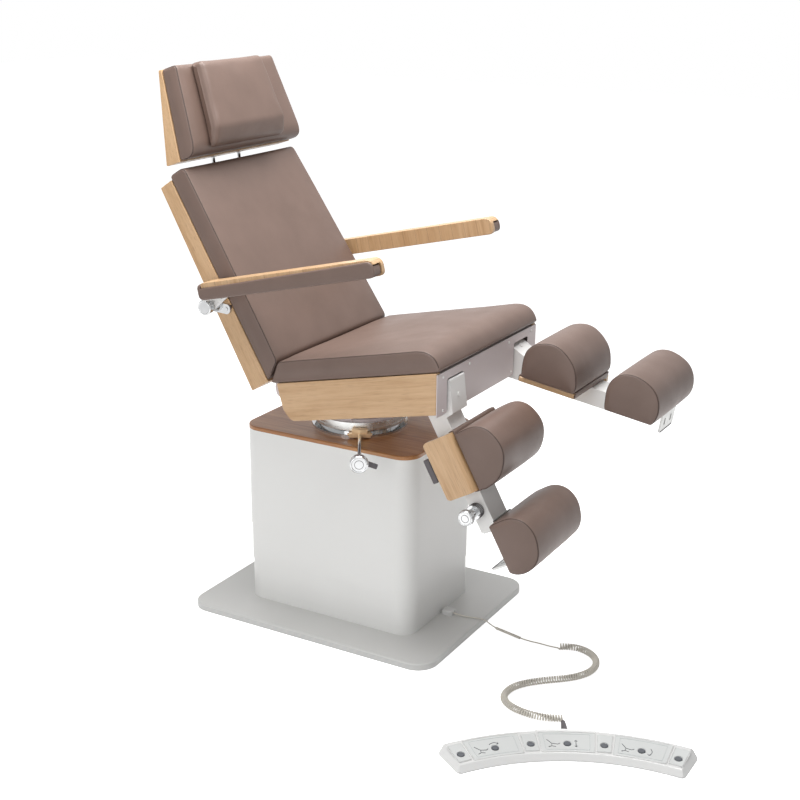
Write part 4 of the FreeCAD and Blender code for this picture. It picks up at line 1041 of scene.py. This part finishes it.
def pedal_frame(r0, r1, angle, half):
    """Four sides of a frame, with corners cut a little."""
    cut_r = 2.0
    cut_a = 0.2
    low = angle - half
    high = angle + half
    steps = [low + 2.0 * half * k / 8.0 for k in range(1, 8)]
    line = [(r0, low + cut_a), (r0 + cut_r, low), (r1 - cut_r, low), (r1, low + cut_a)]
    line += [(r1, step) for step in steps]
    line += [(r1, high - cut_a), (r1 - cut_r, high), (r0 + cut_r, high), (r0, high - cut_a)]
    line += [(r0, step) for step in reversed(steps)]
    return line + line[:1]


frames = []
outlines = []
signs = []
for k in range(-3, 4):
    middle = button_pitch * k
    if k % 2:
        frames.append(pedal_frame(586.5, 651.5, middle, 1.75))
        outlines.append(pedal_frame(592.0, 645.0, middle, 1.2))
        continue
    frames.append(pedal_frame(582.5, 656.5, middle, 6.35))
    outlines.append(pedal_frame(590.0, 648.0, middle, 5.2))
    # A chair in three strokes, on the side that the photo shows at the left of each button
    left = middle + 1.7
    signs.append([(627.0, left + 2.9), (612.0, left + 1.9), (609.0, left + 0.5), (613.0, left)])
    signs.append([(612.0, left + 1.9), (603.0, left + 2.0), (600.0, left + 1.1)])
    signs.append([(603.0, left + 2.0), (599.5, left + 2.8)])
# Arrows: curved ones by the outer signs and a straight one with two heads by the middle sign
arc_above = [(626.0 + 5.0 * math.sin(math.pi * t / 10.0), 17.0 + 1.0 - 2.2 * t / 10.0) for t in range(11)]
arc_right = [(600.0 + 2.4 * t, -17.0 - 1.9 - 0.5 * math.sin(math.pi * t / 10.0)) for t in range(11)]
signs += [arc_above, [(624.0, 16.3), arc_above[-1], (629.5, 15.9)]]
signs += [arc_right, [(603.5, -18.5), arc_right[0], (603.0, -19.3)]]
signs += [[(600.0, -2.0), (624.0, -2.0)], [(603.5, -1.7), (600.0, -2.0), (603.5, -2.3)]]
signs += [[(620.5, -1.7), (624.0, -2.0), (620.5, -2.3)]]
tubes("pedal_frames", on_films(frames, 0.55), 1.1, white_moulding, "base")
tubes("pedal_outlines", on_films(outlines, 0.95), 0.4, print_pale, "base")
tubes("pedal_signs", on_films(signs, 0.95), 0.85, print_grey, "base")

# A dark ring on each knob's face
for ribs_name, name, rim, face, outward, rim_radius, ring_radius, body in knobs:
    ring = ring_about(face, outward, ring_radius, 33)
    tubes(name, [ring + ring[:1]], 0.7, dark_moulding, body)


# Floor, backdrop and light
def seen(tree):
    """1 on the rays that show the surroundings, and 0 on those that only carry their light."""
    rays = tree.nodes.new("ShaderNodeLightPath").outputs
    direct = math_node(tree, "ADD", rays["Is Camera Ray"], rays["Is Glossy Ray"])
    return math_node(tree, "ADD", direct, rays["Is Transmission Ray"])


floor_reach = 15.0
floor_level = -0.0006
white = (1.0, 1.0, 1.0, 1.0)
floor_mesh = bpy.data.meshes.new("floor")
corner_signs = ((-1, -1), (1, -1), (1, 1), (-1, 1))
floor_corners = [(x * floor_reach, y * floor_reach, floor_level) for x, y in corner_signs]
floor_mesh.from_pydata(floor_corners, [], [(0, 1, 2, 3)])
floor = in_scene("floor", floor_mesh)
floor_material = bpy.data.materials.new("floor_white")
floor_material.use_nodes = True
floor_tree = floor_material.node_tree
floor_shader = floor_tree.nodes["Principled BSDF"].inputs
floor_shader["Base Color"].default_value = (0.86, 0.86, 0.86, 1.0)
floor_shader["Roughness"].default_value = 0.9
floor_shader["Emission Color"].default_value = white
glow = math_node(floor_tree, "MULTIPLY", seen(floor_tree), 0.78)
floor_tree.links.new(glow, floor_shader["Emission Strength"])
floor_mesh.materials.append(floor_material)

world = bpy.data.worlds.new("studio")
world.use_nodes = True
bpy.context.scene.world = world
backdrop = world.node_tree.nodes["Background"].inputs
backdrop["Color"].default_value = white
strength = remapped(world.node_tree, seen(world.node_tree), 0.0, 1.0, 0.31, 1.0)
world.node_tree.links.new(strength, backdrop["Strength"])


def softbox(name, at, towards, size, power):
    """Square lamp that faces a point."""
    data = bpy.data.lights.new(name, "AREA")
    data.shape = "SQUARE"
    data.size = size
    data.energy = power
    lamp = in_scene(name, data)
    lamp.location = at
    lamp.rotation_euler = (Vector(towards) - Vector(at)).to_track_quat("-Z", "Y").to_euler()


softbox("overhead", (0.05, -0.1, 2.9), (0.0, 0.0, 0.8), 2.0, 100.0)
softbox("left_front", (0.2, -4.8, 1.8), (0.0, 0.0, 0.7), 2.6, 58.0)
